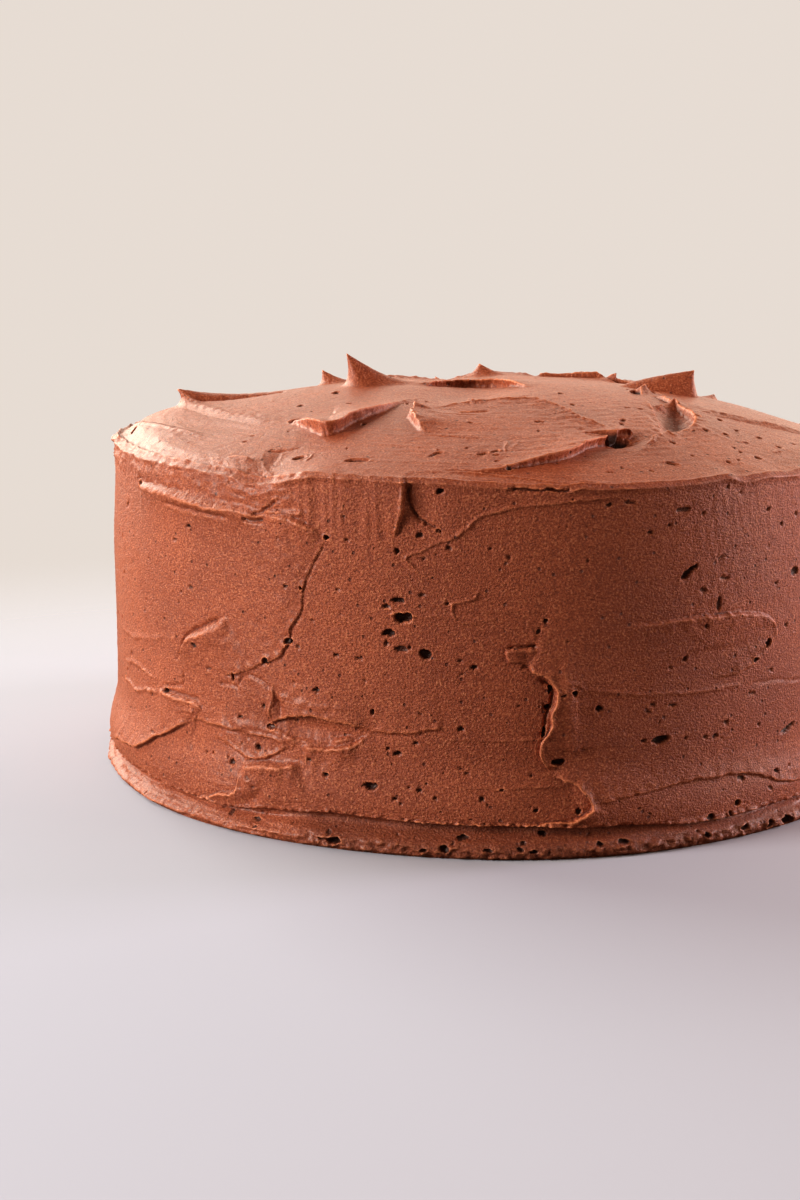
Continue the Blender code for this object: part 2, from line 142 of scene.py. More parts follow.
SIDE_STROKES = [
    # flap under the left rim, its light strip and its right-hand fold
    Stroke([(-31, 84.8), (-36, 84.9), (-41, 85.2), (-49, 86.2), (-60, 86.6)], 2, 3.2, 1.7, 0.1, 0.06),
    Stroke([(-21.6, 80.6), (-24, 82.6), (-27, 84.2), (-31, 84.6)], 1, 20, 0.8, 0.2, 0.2, 0.2, 0.2),
    # right end of the left plate
    Stroke([(-40, 41), (-35, 43), (-31, 46.5), (-29, 48), (-27.4, 52.5), (-27, 56), (-25.4, 61),
            (-25, 67), (-23, 75), (-21.6, 80)], 0.55, 18, 0.5, 0.12, 0.05, 0.1),
    # hooked stroke low on the left
    Stroke([(-37.5, 56), (-40, 52.6), (-43, 50.2), (-45.4, 48), (-46.6, 46), (-48.6, 42)], 1.8, 12, 1.2,
            0.12, 0.25, 0, 0.1),
    # ledge below the hook
    Stroke([(-42.6, 29.6), (-43.6, 30.8), (-47, 31.2), (-52, 31.4), (-54, 32.4)], 1.4, 9, 0.6, 0.1, 0.2,
            0.3, 0.2),
    # long slanting stroke, rising then level
    Stroke([(-74, 9.5), (-66, 12.7), (-60, 13.6), (-57, 15.6), (-52, 20.5), (-48, 24), (-44.6, 27.2)],
            1.6, 15, 0.6, 0.3, 0.1, 0.4, 0.25),
    Stroke([(-45, 27.4), (-41, 27.2), (-36, 27), (-30, 26.6), (-25.5, 25.4)], 1, 10, 0.6, 0.1, 0.2, 0.2,
            0.2),
    # thin arc below it
    Stroke([(-41, 25), (-37, 22.2), (-35, 20.7), (-33, 20.2), (-31, 21), (-28, 23.8), (-26.3, 25)], 0.7,
            4, 0.45, 0.2, 0.2, 0.1, 0.3),
    # hollow lens: its lip, then its floor's lower edge
    Stroke([(-30.6, 29.6), (-28.6, 32.2), (-26, 33.5), (-23, 34.2), (-20, 33.4), (-16.5, 32.4),
            (-15.2, 31.2)], 1.4, 13, 0.55, 0.12, 0.2, 0.6, 0.35),
    Stroke([(-15.2, 31), (-10, 31.5), (-7.5, 32.5), (-5.2, 33)], 0.5, 8, 0.5, 0.1, 0.1, 0, 0.5),
    Stroke([(-15, 30.6), (-16.6, 28), (-18.6, 26), (-22, 25), (-26, 24.6)], 0.9, 7, 0.6, 0.15, 0.2, 0.2,
            0.5),
    Stroke([(-17.8, 28.8), (-21.4, 27.2)], 0.9, 3, 0.5, 0.2, 0.3, 0, 0.2),
    Stroke([(-22, 26.2), (-26, 26.4), (-30.5, 28.8)], 0.7, 8, 0.7),
    # bright ledge under it
    Stroke([(-25.3, 20.4), (-27, 19.2), (-30, 18.3), (-34.8, 16.9)], 2.1, 6, 1, 0.12, 0.1, 0.4, 0.3),
    # edge of the low left plate
    Stroke([(-34.6, 17.6), (-34.9, 14), (-35.4, 10.4), (-38, 8.6), (-42, 6), (-47, 4.8), (-53, 4.6)], 1.2,
            14, 0.6, 0.08, 0.2, 0.3, 0.3),
    # little flap above the upright ridge
    Stroke([(6.6, 53.6), (3.2, 53.4), (3.4, 51), (5.2, 50.2)], 0.8, 4, 0.4, 0.1, 0.2, 0.2, 0.3),
    # upright ridge in the middle of the front
    Stroke([(5.2, 49.6), (8.2, 47.2), (9.5, 44), (9.8, 41), (9.2, 37), (9, 33), (8, 30), (7.6, 28),
            (8, 25), (9.2, 21.8)], 1.9, 7, 0.5, 0.08, 0.12, 1, 0.6),
    Stroke([(9, 21.6), (10.8, 20.4), (12.2, 19), (13.3, 16.5), (14.3, 13.6), (13.9, 11), (12.2, 9.2),
            (9, 8.4), (4, 8)], 1.7, 7, 0.5, 0.1, 0.2, 0.8, 0.6),
    # long low stroke to its right
    Stroke([(14.5, 13.3), (18, 14.7), (22, 15.5), (27, 16.8), (31, 17.1), (36, 16.7), (40, 15.4),
            (45, 12), (53, 10)], 0.7, 14, 0.4, 0.05, 0.2, 0.1, 0.12),
    # oval end of a stroke, upper right
    Stroke([(31, 43.2), (35, 43.8), (38, 45), (39.8, 47), (41.4, 49.6), (42.6, 52.6), (42.4, 55),
            (41.2, 57), (38.5, 58.4), (33, 59.2), (27, 59.2), (22, 58.6), (16, 57.4)], 1.1, 15, 0.45,
            0.15, 0.3, 0.2, 0.1),
    # short upright ridge that meets the rim
    Stroke([(-12, 82), (-11.2, 85.5), (-10.8, 90), (-10.9, 96.5)], 1.2, 7, 0.5, 0.06, 0.05, 0.2, 0.5),
    # thin edges under the rim, right of the middle
    Stroke([(2, 93.2), (6, 93.9), (11.4, 94.1)], 0.5, 3, 0.35, 0.1, 0.1, 0.4, 0.1),
]

# Raised lines and grooves: places along them, how far they stand out (or in, if less than nothing),
# and their half width
Line = namedtuple("Line", "points rise width")

SIDE_LINES = [
    # groove above the flap and the dark line under it
    Line([(-62, 88), (-55, 88.2), (-46, 88)], -0.5, 0.6),
    Line([(-52, 84.4), (-46, 83.9), (-41, 83.4), (-36, 83.3)], -0.7, 0.5),
    Line([(-34.6, 83.4), (-33, 83.2), (-31, 84)], -1, 0.55),
    Line([(-33, 85.3), (-30.5, 87), (-28.8, 89.6)], -0.7, 0.45),
    Line([(-31, 85.9), (-27, 86), (-23.8, 85.6)], 0.5, 0.4),
    # upper edge of the crack along the hooked stroke
    Line([(-39, 56.2), (-42, 53.8), (-45, 50.8), (-46.8, 48.6), (-47.6, 45.4), (-49, 41.6)], -0.8, 0.45),
    Line([(-47.3, 39.5), (-47.4, 36), (-49, 34.6), (-52.6, 33.6)], -0.6, 0.4),
    Line([(-43, 32.6), (-47, 32.8), (-52, 32.6)], -0.6, 0.6),
    Line([(-44.2, 28.7), (-46.8, 28.9)], 0.5, 0.5),
    Line([(-69, 29), (-65, 29.4), (-62, 28.4), (-59.6, 29.2), (-57.6, 30.4), (-55, 30.6), (-53, 31.6)],
          0.55, 0.5),
    Line([(-68, 34.3), (-62, 36.1), (-58, 35.4), (-53.6, 34)], 0.35, 0.5),
    Line([(-72, 44), (-64, 43.6), (-58, 44.8), (-51, 47)], 0.25, 0.8),
    # arch beside the lens and the marks in it
    Line([(-35.2, 38.8), (-35.5, 40.6), (-34, 42), (-31.8, 41.2), (-30.2, 39)], -0.6, 0.35),
    Line([(-39.4, 38.4), (-37, 38.6), (-35.4, 38.2)], -0.5, 0.35),
    Line([(-30.4, 40), (-29.8, 37.4), (-30.4, 33.6), (-30.2, 31.2)], 0.5, 0.5),
    Line([(-30, 38.3), (-25, 37.2), (-18, 36.5)], 0.22, 0.3),
    Line([(-30, 37.4), (-26, 36.4), (-20, 36.2)], 0.18, 0.3),
    # seam from the slanting stroke to the lens
    Line([(-38, 26), (-33, 27.4), (-28, 26.6)], -0.35, 0.5),
    # arc beside the short upright ridge
    Line([(-10.1, 94.6), (-10, 90), (-9.4, 87.5), (-8, 85.4), (-6.2, 83.6)], -1, 0.5),
    Line([(-8.6, 85.2), (-7, 83.8), (-5.8, 82.8)], 0.4, 0.3),
    # thin raised line that wanders down from the rim
    Line([(19, 93.6), (17.4, 92.6), (14, 91.9), (10, 91), (5, 89.8), (1, 88.2), (-1.4, 86.2),
          (-3.8, 81.8), (-6, 80.8), (-8, 78.4), (-10.4, 76.4), (-9, 73.4), (-6.6, 71), (-4, 70.2)], 0.45,
          0.32),
    Line([(-0.4, 70), (-1.4, 66.8), (-4, 65), (-4.2, 62.8), (-3.4, 60.4), (0, 60)], 0.38, 0.3),
    Line([(-4, 63.4), (2, 63.4), (8, 63.2)], 0.2, 0.28),
    # slit under the rim
    Line([(2.2, 93.6), (5, 94), (11.6, 94.5)], -1.5, 0.42),
    # dark edge along the upright ridge
    Line([(6.8, 46.6), (8.5, 44), (8.8, 41), (8.2, 37), (7.8, 33.6), (7, 31)], -0.9, 0.4),
    # dark slits of the little flap
    Line([(2.8, 54), (4.6, 53.9), (7.2, 54.3)], -1, 0.4),
    Line([(4.6, 49), (6.4, 48.9)], -0.8, 0.4),
    # level lines left by the knife
    Line([(-6, 30.4), (1, 30.2), (8, 30.3)], 0.3, 0.3),
    Line([(-6, 18.2), (3, 18), (11.5, 18.4)], 0.32, 0.3),
    Line([(-10, 8.6), (0, 8.3), (8, 8.1)], 0.3, 0.35),
    Line([(9.6, 45.4), (12, 44.6), (13.2, 43)], 0.3, 0.35),
    Line([(11, 43), (15, 42.6), (20, 41), (24, 40.4), (31, 40), (38, 40.2)], 0.36, 0.34),
    Line([(38, 40.2), (43, 39.6), (50, 37.6)], -0.3, 0.35),
    Line([(11.5, 39.6), (13.5, 42)], 0.25, 0.3),
    Line([(-13, 62), (-4, 61.4), (2.4, 61)], 0.22, 0.28),
    Line([(4.2, 60.4), (6, 58.4), (6.6, 55.6)], 0.3, 0.35),
    Line([(-22, 20.2), (-15, 20.4), (-7, 20)], 0.15, 0.3),
]

# A hollow or a swelling: middle, half length, half width, the way its length runs, and its rise
Mound = namedtuple("Mound", "centre length width turn rise")

SIDE_MOUNDS = [
    Mound((11.2, 38), 11, 1.8, 93, 0.7),
    Mound((13.2, 15), 4.5, 1.8, 115, 0.8),
    Mound((-8.2, 89), 8, 4.5, 95, -0.9),
    Mound((-23, 30.2), 15, 2.4, -3, -1.4),
    Mound((-64, 14), 45, 7, 3, 1),
    # hollow beside the low left plate, and the floor of the plate at the foot of the upright ridge
    Mound((-32.6, 9.6), 5.5, 1.8, 40, -1.1),
    Mound((9, 13.5), 9, 4.6, 0, -0.7),
    # dent in the upright dark mark beside the lens
    Mound((-29, 35), 2.6, 1, 108, -1.4),
]

# A burst bubble: middle, half width, half height, depth, and turn
Pit = namedtuple("Pit", "centre width height depth turn", defaults=(0.0,))


def pits(rows):
    """Bubbles from plain rows, each with its middle's two numbers first."""
    return [Pit(row[:2], *row[2:]) for row in rows]


SIDE_PITS = pits([
    (-59.6, 87.2, 1.6, 0.9, 1.2), (-45.6, 79.2, 1, 0.6, 1), (-49, 74.8, 0.9, 0.5, 0.5),
    (-45.4, 62.6, 1.2, 0.7, 0.5), (-51.4, 32.1, 1.1, 0.9, 1.5), (-44, 47.4, 0.8, 0.6, 0.8),
    (-36.8, 41, 0.7, 1.2, 0.8), (-41.8, 18.9, 0.5, 0.4, 0.7), (-40.4, 19, 0.5, 0.4, 0.8),
    (-36.8, 17.7, 0.9, 0.8, 0.7), (-37.6, 18.6, 0.4, 0.4, 0.5), (-35.2, 23.2, 0.6, 0.5, 0.4),
    (-32.4, 23.1, 0.9, 0.7, 0.9), (-34, 25, 0.7, 0.3, 0.3), (-27.3, 52.6, 1.3, 0.8, 1),
    (-31, 46.5, 1.3, 0.9, 1.1), (-25.2, 66.8, 0.5, 0.6, 0.8), (-31.4, 34.7, 0.6, 0.6, 0.7),
    (-21.2, 80.6, 0.9, 0.7, 1), (-18.4, 80.4, 0.7, 0.4, 0.4), (-18.8, 86, 0.6, 0.4, 0.6),
    (-11.4, 65.6, 2, 0.75, 1.1), (-13, 63.8, 1.3, 0.5, 0.7), (-10.6, 61.2, 2.5, 1.35, 1.8),
    (-12.7, 57.1, 1.8, 0.9, 1.2, 5), (-7.6, 52, 1.7, 1.2, 1.4), (-11, 53, 1.8, 0.8, 0.7),
    (-20, 50.4, 0.9, 0.5, 0.6), (-23, 40.4, 1.1, 0.6, 0.8), (-14.9, 36.2, 0.6, 0.8, 0.7),
    (-11.6, 78, 0.8, 0.7, 0.9, 40), (-5.8, 92.6, 1.1, 0.7, 1.2, 15), (-8.6, 82, 1, 0.7, 0.7),
    (-1.4, 49.1, 1.1, 0.5, 0.9), (-4.8, 65, 0.6, 0.4, 0.6), (0.6, 79.2, 0.7, 0.4, 0.3),
    (3, 77.2, 0.9, 0.6, 0.3, -20), (7.8, 61, 0.7, 0.6, 0.8), (8.4, 43.4, 0.6, 1, 1),
    (8.1, 38.7, 0.9, 0.8, 1.6), (7.6, 32.2, 0.5, 1.6, 0.9, -14), (9.6, 24.4, 1.5, 1.1, 1.8),
    (6.1, 20.6, 0.4, 0.3, 0.6), (6.6, 12.2, 0.9, 0.5, 0.8), (12.4, 11.6, 0.8, 0.9, 0.8),
    (-8.9, 28.6, 0.9, 0.5, 0.6), (-12.7, 26.7, 0.6, 0.35, 0.6), (-11.5, 25.7, 1.2, 0.6, 0.9),
    (-23.9, 21.6, 1, 0.5, 0.6), (-21.4, 18.8, 0.9, 0.7, 1), (-15, 17, 1.8, 1, 1.2),
    (-16, 16.8, 0.5, 0.4, 0.6), (-9.8, 17.2, 0.5, 0.35, 0.5), (-8.4, 16.6, 0.9, 0.5, 0.7),
    (-11.6, 14.2, 0.9, 0.4, 0.7), (-10.8, 13, 0.6, 0.35, 0.4), (-3, 22.6, 1.3, 0.4, 0.4),
    (-2.2, 21.6, 0.8, 0.4, 0.4), (-23.2, 33.2, 0.5, 0.4, 0.6), (-26.2, 31.6, 0.8, 0.3, 0.5),
    (11.7, 42.4, 0.9, 0.7, 1), (15, 37.9, 1.1, 0.75, 1.2), (22.7, 38, 0.9, 0.6, 0.5),
    (22, 36, 0.8, 0.4, 0.5), (25.5, 37.3, 1.1, 0.45, 0.8, -12), (24, 28.2, 2.7, 1, 1.6, 8),
    (21.4, 28.6, 0.9, 0.5, 0.6), (31, 27.6, 0.7, 0.4, 0.6), (32.6, 27.5, 0.9, 0.45, 0.7, -15),
    (27.2, 71.2, 2.3, 0.8, 1.3, 40), (28.3, 72.6, 1.3, 0.5, 1, 30), (32.6, 74.6, 1.4, 0.4, 0.5, 12),
    (33.2, 69, 1.5, 0.6, 0.5), (29.9, 66.6, 1.2, 0.6, 0.5, 5), (32.5, 62.5, 0.7, 2, 0.6),
    (26.4, 88.1, 2.2, 0.7, 0.6), (21.6, 82.4, 0.9, 0.4, 0.6), (24.4, 84, 0.5, 0.35, 0.6),
    (16, 90.4, 1, 0.5, 0.6), (18.8, 90.6, 1.6, 0.5, 0.4), (33.4, 92.2, 0.6, 0.5, 0.6, 30),
    (40.9, 85.7, 0.9, 0.45, 1, 20), (43.7, 81.4, 0.7, 0.5, 0.9), (47, 68, 1.8, 1.2, 0.7),
    (42.8, 65.9, 0.8, 0.4, 0.5), (45.4, 54, 1, 0.5, 0.5), (41.2, 50.4, 0.8, 1.4, 1.2, -30),
    (39, 46.4, 0.9, 0.8, 0.9, 30), (30.3, 57, 0.6, 0.7, 0.6), (27.4, 49.2, 0.8, 0.4, 0.6),
    (38.8, 37.4, 1.3, 0.4, 0.5), (46.6, 25.4, 3.2, 0.7, 0.9, 16), (43.6, 14.8, 1.4, 0.6, 0.9, -25),
    (37, 15, 1.2, 0.6, 0.6, -15), (46.6, 15.6, 0.6, 0.4, 0.5), (36, 9, 1.1, 0.8, 1),
    (31.4, 6.6, 1.2, 0.8, 0.9, 20), (-19.6, 2.4, 2, 1, 1.8), (-15, -0.4, 1.3, 1, 1.2),
    (-2.6, 5, 1.6, 0.5, 1), (-4.9, 2.6, 1.4, 0.9, 1.3), (-7.6, 2.2, 0.8, 0.6, 0.7),
    (0.6, 2.6, 1.2, 0.5, 0.8), (4.6, 3, 1, 0.6, 0.9), (6.4, 2.4, 1, 0.6, 1), (7.6, 6, 1.1, 0.6, 1),
    (14.8, 3.6, 0.9, 0.7, 0.8), (18, 3.6, 1.6, 0.6, 0.9), (30, 2.8, 1, 0.8, 1), (36.4, 2.5, 1.3, 0.7, 1),
    (41, 1.8, 1.4, 1, 1.4), (44.6, 1.4, 2.4, 1.2, 2, -15), (-32, 4, 1.2, 0.5, 0.6),
    (-31.6, 2.6, 0.7, 0.4, 0.6),
])

TOP_STROKES = [
    # ridge round the left shoulder
    Stroke([(-76, -55), (-82, -48), (-90, -38), (-97, -27), (-103, -15), (-107, -2)], 1.3, 12, 2.2, 0.2,
            0.2, 0, 0.3),
    # long stroke that ends in the left curl
    Stroke([(-91, 22), (-91, 6), (-85, -8), (-77, -23), (-68, -36), (-60, -46), (-54, -51)], 0.9, 16, 2.6,
            0.3, 0.2),
    # pointed lip, front left
    Stroke([(-55, -47), (-51, -54), (-47, -60), (-42, -67.5), (-38, -60.5), (-32, -52), (-27, -44),
            (-20, -30)], 3.9, 9, 1.1, 0.3, 0.6, 2),
    # front plateau: its left end, its back edge and its right front edge
    Stroke([(-17.6, -49), (-19.6, -55), (-19, -62), (-17.4, -68), (-16, -76)], 2.4, 12, 1, 0.08, 0.45,
            0.8, 0.1),
    Stroke([(33, -67.5), (30, -64.5), (26, -60.5), (21, -51), (16, -44.5), (12, -41), (2, -41.5),
            (-9, -45), (-18, -50)], 1.4, 18, 1, 0.1, 0.2, 0.3, 0.5),
    Stroke([(-9, -103.4), (-2, -102.6), (4, -101), (11, -97), (19, -92), (24, -85), (29, -77),
            (33.5, -70), (38, -68.5)], 2.5, 13, 0.7, 0.55, 0.03, 1.9, 0.1),
    # arching flap at the middle, open to the front
    Stroke([(-19, -7), (-17, 1), (-12, 6), (-4, 8.5), (4, 6), (9, -2), (14, -14)], 2.3, 6, 1.1, 0.12,
            0.35, 2.2, 0.1),
    # ridge round the right scoop
    Stroke([(47, -8), (52, -18), (56, -30), (58.2, -40), (57.6, -49), (55.4, -57), (50, -63), (45, -71),
            (41.5, -79), (38.6, -86)], 1.9, 6, 0.9, 0.15, 0.3, 0.7, 0.3),
    Stroke([(41, -80), (45, -70), (47, -58), (46.4, -42), (45.4, -28), (45, -14)], 0.6, 9, 0.6, 0.2, 0.3,
            0, 0.25),
    # step that runs out to the right
    Stroke([(57, -36), (64, -32.5), (72, -31), (84, -30), (96, -28)], 0.9, 14, 2.6, 0.2, 0.3),
    # strip along the back of the crown
    Stroke([(16, 52), (24, 51), (33, 50), (42, 48), (52, 42)], 1.5, 8, 1.1, 0.12, 0.3, 0.6),
    # fold at the left rim, where the top runs over the side
    Stroke([(-60, -84), (-64, -80), (-72, -77), (-80, -72)], 0.9, 6, 0.8, 0.2, 0.3, 0.2, 0.3),
]

TOP_LINES = [
    Line([(-53.6, -50), (-51, -48)], -1.2, 0.9),
    Line([(-5, -20), (-5.2, -34), (-4, -44), (-3.4, -48)], 0.5, 0.45),
    Line([(-7, -55), (-2, -54), (1, -53.6)], -0.5, 0.5),
    Line([(-18, -56), (-10, -58), (-2, -59)], -0.15, 0.4),
    Line([(-16, -76), (-8, -78), (0, -80)], -0.2, 0.35),
    Line([(4, -80), (5.6, -84), (4.4, -88), (6, -90)], 0.25, 0.4),
    Line([(7, -80), (8, -84), (6.6, -88)], 0.22, 0.4),
    Line([(-10, -103.6), (-2, -104.4), (10, -106), (20, -107), (33, -104)], 0.3, 0.4),
    Line([(-12, -102.6), (0, -103.4), (8, -104)], -0.3, 0.35),
    Line([(-59, -77), (-58.4, -82), (-57, -90), (-55, -95)], 0.18, 0.6),
    Line([(-53, -77), (-54, -83), (-56, -88)], 0.12, 0.6),
    Line([(-58, -76.6), (-54, -77), (-48, -76.4)], -0.4, 0.45),
    Line([(-45, -82.6), (-45.6, -86), (-47, -88)], 0.25, 0.35),
    # under the left curl
    Line([(-87, 0.5), (-80, 0.5), (-70, 1.5), (-60, 3)], -1.5, 1.4),
    # under the flap at the middle
    Line([(-16.4, -3), (-13, 2.4), (-5, 5.2), (3, 3.2), (7, -2)], -1.8, 1.2),
    Line([(48, -60), (50, -66), (53, -60.4)], 0.4, 0.4),
]

TOP_MOUNDS = [
    Mound((-4, -17), 22, 12, 80, -3),
    Mound((-12, 12), 26, 15, 0, -1.8),
    Mound((-14, 54), 16, 32, 0, -1.5),
    Mound((93, 24), 38, 15, 105, -1.5),
    Mound((52, -45), 16, 4.2, 86, -4.2),
    Mound((-62, 4), 38, 28, 12, 1.2),
    Mound((-95, 10), 55, 14, 95, 2.3),
    Mound((34.6, -75), 6.5, 3, 40, -2.4),
    Mound((-74, -44), 14, 4, -38, -0.6),
    Mound((-55, -83), 7, 3, 80, -0.6),
]

TOP_PITS = pits([
    (-44, -16, 1, 2.6, 1.2), (-38.6, -36, 0.8, 1.6, 1, 10), (-53, -31, 1, 1.6, 0.5),
    (-53, -50.6, 1.6, 2.2, 2), (-33, -93.4, 3.2, 1.4, 1.9, -6), (-12.6, -90.6, 1.6, 0.9, 0.8, 20),
    (-14, -92, 1.2, 0.5, 0.5, 15), (-48.4, -84.6, 1.8, 1.3, 0.7, 15), (-33, -61.6, 1, 1.6, 0.6),
    (-22, -41, 0.6, 1.2, 0.5), (-17, -37, 0.5, 1, 0.4), (-65, -65, 0.7, 0.9, 0.4),
    (14, -64, 1.6, 1, 0.5, 15), (13.6, -73, 0.6, 0.9, 0.4), (-1, -91.4, 1.6, 0.8, 0.9, 25),
    (2, -90, 1.4, 0.6, 0.8, 30), (2.6, -93, 0.8, 0.6, 0.7), (2.6, -97, 1, 0.7, 0.8),
    (24, -41.5, 0.9, 1.5, 0.8), (21, -25, 0.8, 1.8, 0.6), (36.8, -56, 0.8, 1.6, 1, -10),
    (36, -60.6, 0.6, 1.4, 0.8), (47.6, -88, 1.8, 0.9, 1.3), (62.6, -80.4, 0.8, 0.8, 0.7),
    (71.4, -71.4, 1, 1.2, 0.8), (49, -72.6, 0.9, 0.7, 0.7), (65.6, -77, 0.6, 0.7, 0.4),
    (67, -69.6, 0.5, 0.9, 0.4), (74, -52, 0.7, 1, 0.7), (64.6, -41, 0.8, 1.6, 0.6),
    (64.4, -56.4, 0.7, 1, 0.7), (59, -57.6, 0.7, 1, 0.7), (79, -57, 0.7, 0.9, 0.5),
    (68.4, -49.4, 0.6, 1.4, 0.6), (53.4, -80, 0.6, 0.7, 0.6), (42, -95, 0.8, 0.5, 0.6),
    (31, -98, 0.9, 0.3, 0.4), (84, -50, 0.5, 0.9, 0.4), (43.4, -9, 1.6, 4.2, 2.6, 4),
    (49.4, -2, 1.8, 5, 3.4, 4), (-102.6, -23, 0.8, 2.2, 1, -26), (-6.4, -54.4, 1.8, 0.6, 0.5, 8),
    (1, -109.4, 1.2, 0.5, 0.6), (5.6, -101, 0.9, 0.8, 0.9), (31.8, -73.2, 6.4, 1.8, 2.6, 10),
])

# A drawn-up peak: foot, height, reach along its back, reach along its steep face, half thickness, the
# way its back runs down, how far its tip hangs over the steep face, and how strongly its back sags
# between the tip and the foot, 1 for straight
Peak = namedtuple("Peak", "foot height back face thickness turn lean hollow", defaults=(2.4,))

PEAKS = [
    Peak((-37, -1), 9.8, 20, 8, 8.5, 12, 5),
    Peak((-49, 28), 4.6, 12, 5, 6, -10, 2.6),
    Peak((-87, 4), 4, 32, 9, 10, 8, 6.5),
    Peak((-1, 46), 3.8, 11, 9, 6, -5, 1.6),
    Peak((13, 50), 0.9, 9, 5, 5, 0, 0.8),
    Peak((61, 12), 7.6, 21, 2.6, 7, 184, 1.6, 0.9),
    Peak((53, -25), 2.8, 8, 4, 4.5, 250, 1.2),
    Peak((49, -31), 1.6, 6, 3, 3.5, 230, 0.8),
    Peak((46, -5), 2.6, 9, 4, 4.5, 240, 1.2),
    Peak((-18, -51), 1.3, 8, 3.5, 5, -30, 1.4),
    Peak((36.5, -69.5), 0.7, 12, 2.4, 3.2, 196, 2.6),
    Peak((18, 51), 0.9, 12, 4, 5, -5, 0.8),
    Peak((40, 48), 2.4, 4, 2.5, 3, 160, 1.6),
]

# The far side and the far part of the top, finished like what shows
HIDDEN_SEED = 11
HIDDEN_FROM, HIDDEN_TO = 62, 268
HIDDEN_SIDE_STROKES, UPRIGHT_EVERY = 15, 5
HIDDEN_SIDE_HEIGHTS, HIDDEN_SIDE_RISES = (14, 84), (0.8, 1.5)
LEVEL_SPANS, LEVEL_SLANTS, LEVEL_BOWS = (12, 26), (-9, 9), (-5, 5)
UPRIGHT_SPANS, UPRIGHT_SLANTS = (-4, 4), (20, 34)
HIDDEN_TOP_STROKES, HIDDEN_TOP_TURN, HIDDEN_TOP_DRIFTS = 6, 38, (-10, 10)
HIDDEN_TOP_RADII, HIDDEN_TOP_RISES = (48, 96), (1.2, 2.6)
HIDDEN_RUNS = (10, 24)
HIDDEN_PEAKS, HIDDEN_PEAK_RADII, HIDDEN_PEAK_HEIGHTS = 4, (62, 90), (2.6, 4.6)
FAR_TOP_FROM, FAR_TOP_TO = 25, 112

# Chance bubbles over the whole coat: how many, and between what heights or out to what radius
BUBBLE_SEED = 5
SIDE_BUBBLES, SIDE_BUBBLE_HEIGHTS = 420, (9.0, 93.0)
FOOT_BUBBLES, FOOT_BUBBLE_HEIGHTS = 130, (0.3, 6.5)
TOP_BUBBLES, TOP_BUBBLE_RADIUS = 150, 106.0
LEAST_BUBBLE = 0.26


def ease(low, high, value):
    """0 below low, 1 above high, smooth between."""
    t = np.clip((value - low) / (high - low), 0.0, 1.0)
    return t * t * (3.0 - 2.0 * t)


def within(low, high, soft, value):
    """1 between low and high, dying away over soft outside them."""
    return ease(low - soft, low, value) * (1.0 - ease(high, high + soft, value))


def profile(steps, azimuth):
    """A value that is given at a few azimuths, and runs smoothly between them."""
    at, values = np.array(steps, dtype=float).T
    i = np.clip(np.searchsorted(at, azimuth, side="right") - 1, 0, len(at) - 2)
    share = ease(0.0, 1.0, (azimuth - at[i]) / (at[i + 1] - at[i]))
    return values[i] + (values[i + 1] - values[i]) * share


SLOPES = np.array([(1, 1, 0), (-1, 1, 0), (1, -1, 0), (-1, -1, 0), (1, 0, 1), (-1, 0, 1), (1, 0, -1),
                   (-1, 0, -1), (0, 1, 1), (0, -1, 1), (0, 1, -1), (0, -1, -1)], dtype=float)


def lumps(places, size, seed):
    """Smooth chance rises and dips of a given size, from about -1 to 1."""
    scaled = places / np.asarray(size, dtype=float)
    cell = np.floor(scaled).astype(np.int64)
    part = scaled - cell
    blend = part ** 3 * (part * (part * 6.0 - 15.0) + 10.0)
    total = np.zeros(len(places))
    for corner in itertools.product((0, 1), repeat=3):
        key = (cell[:, 0] + corner[0]) * 73856093 ^ (cell[:, 1] + corner[1]) * 19349663
        key = key ^ (cell[:, 2] + corner[2]) * 83492791 ^ seed * 2971215073
        key = (key ^ (key >> 15)) * 2246822519 & 0x7FFFFFFF
        slope = SLOPES[(key ^ (key >> 11)) % 12]
        weight = np.ones(len(places))
        for axis in range(3):
            weight *= blend[:, axis] if corner[axis] else 1.0 - blend[:, axis]
        total += weight * ((part - np.array(corner)) * slope).sum(axis=1)
    return total * 1.4


def smooth_curve(points, per_span=6):
    """Places along a smooth curve through the given ones."""
    p = np.array([points[0]] + list(points) + [points[-1]], dtype=float)
    curve = []
    for i in range(1, len(p) - 2):
        for t in np.linspace(0.0, 1.0, per_span, endpoint=False):
            curve.append(0.5 * (2 * p[i] + (p[i + 1] - p[i - 1]) * t
                                + (2 * p[i - 1] - 5 * p[i] + 4 * p[i + 1] - p[i + 2]) * t ** 2
                                + (3 * p[i] - p[i - 1] - 3 * p[i + 1] + p[i + 2]) * t ** 3))
    curve.append(p[-2])
    return np.array(curve)


def near_curve(curve, reach, u, v):
    """Which places are close enough to a curve to be touched by it."""
    low, high = curve.min(axis=0) - reach, curve.max(axis=0) + reach
    return np.flatnonzero((u > low[0]) & (u < high[0]) & (v > low[1]) & (v < high[1]))


def against_curve(curve, u, v):
    """Each place's distance from a curve, positive on the left of its run, its share along it, and the
    direction towards the left."""
    nearest = np.full(u.shape, np.inf)
    side, share, left_u, left_v = np.zeros((4, *u.shape))
    lengths = np.hypot(*np.diff(curve, axis=0).T)
    starts = np.concatenate([[0.0], np.cumsum(lengths)])
    for i, length in enumerate(lengths):
        du, dv = (curve[i + 1] - curve[i]) / length
        pu, pv = u - curve[i, 0], v - curve[i, 1]
        along = np.clip(pu * du + pv * dv, 0.0, length)
        gap = np.hypot(pu - along * du, pv - along * dv)
        closer = gap < nearest
        nearest = np.where(closer, gap, nearest)
        side = np.where(closer, np.sign(du * pv - dv * pu), side)
        share = np.where(closer, (starts[i] + along) / starts[-1], share)
        left_u = np.where(closer, -dv, left_u)
        left_v = np.where(closer, du, left_v)
    return nearest * side, share, left_u, left_v


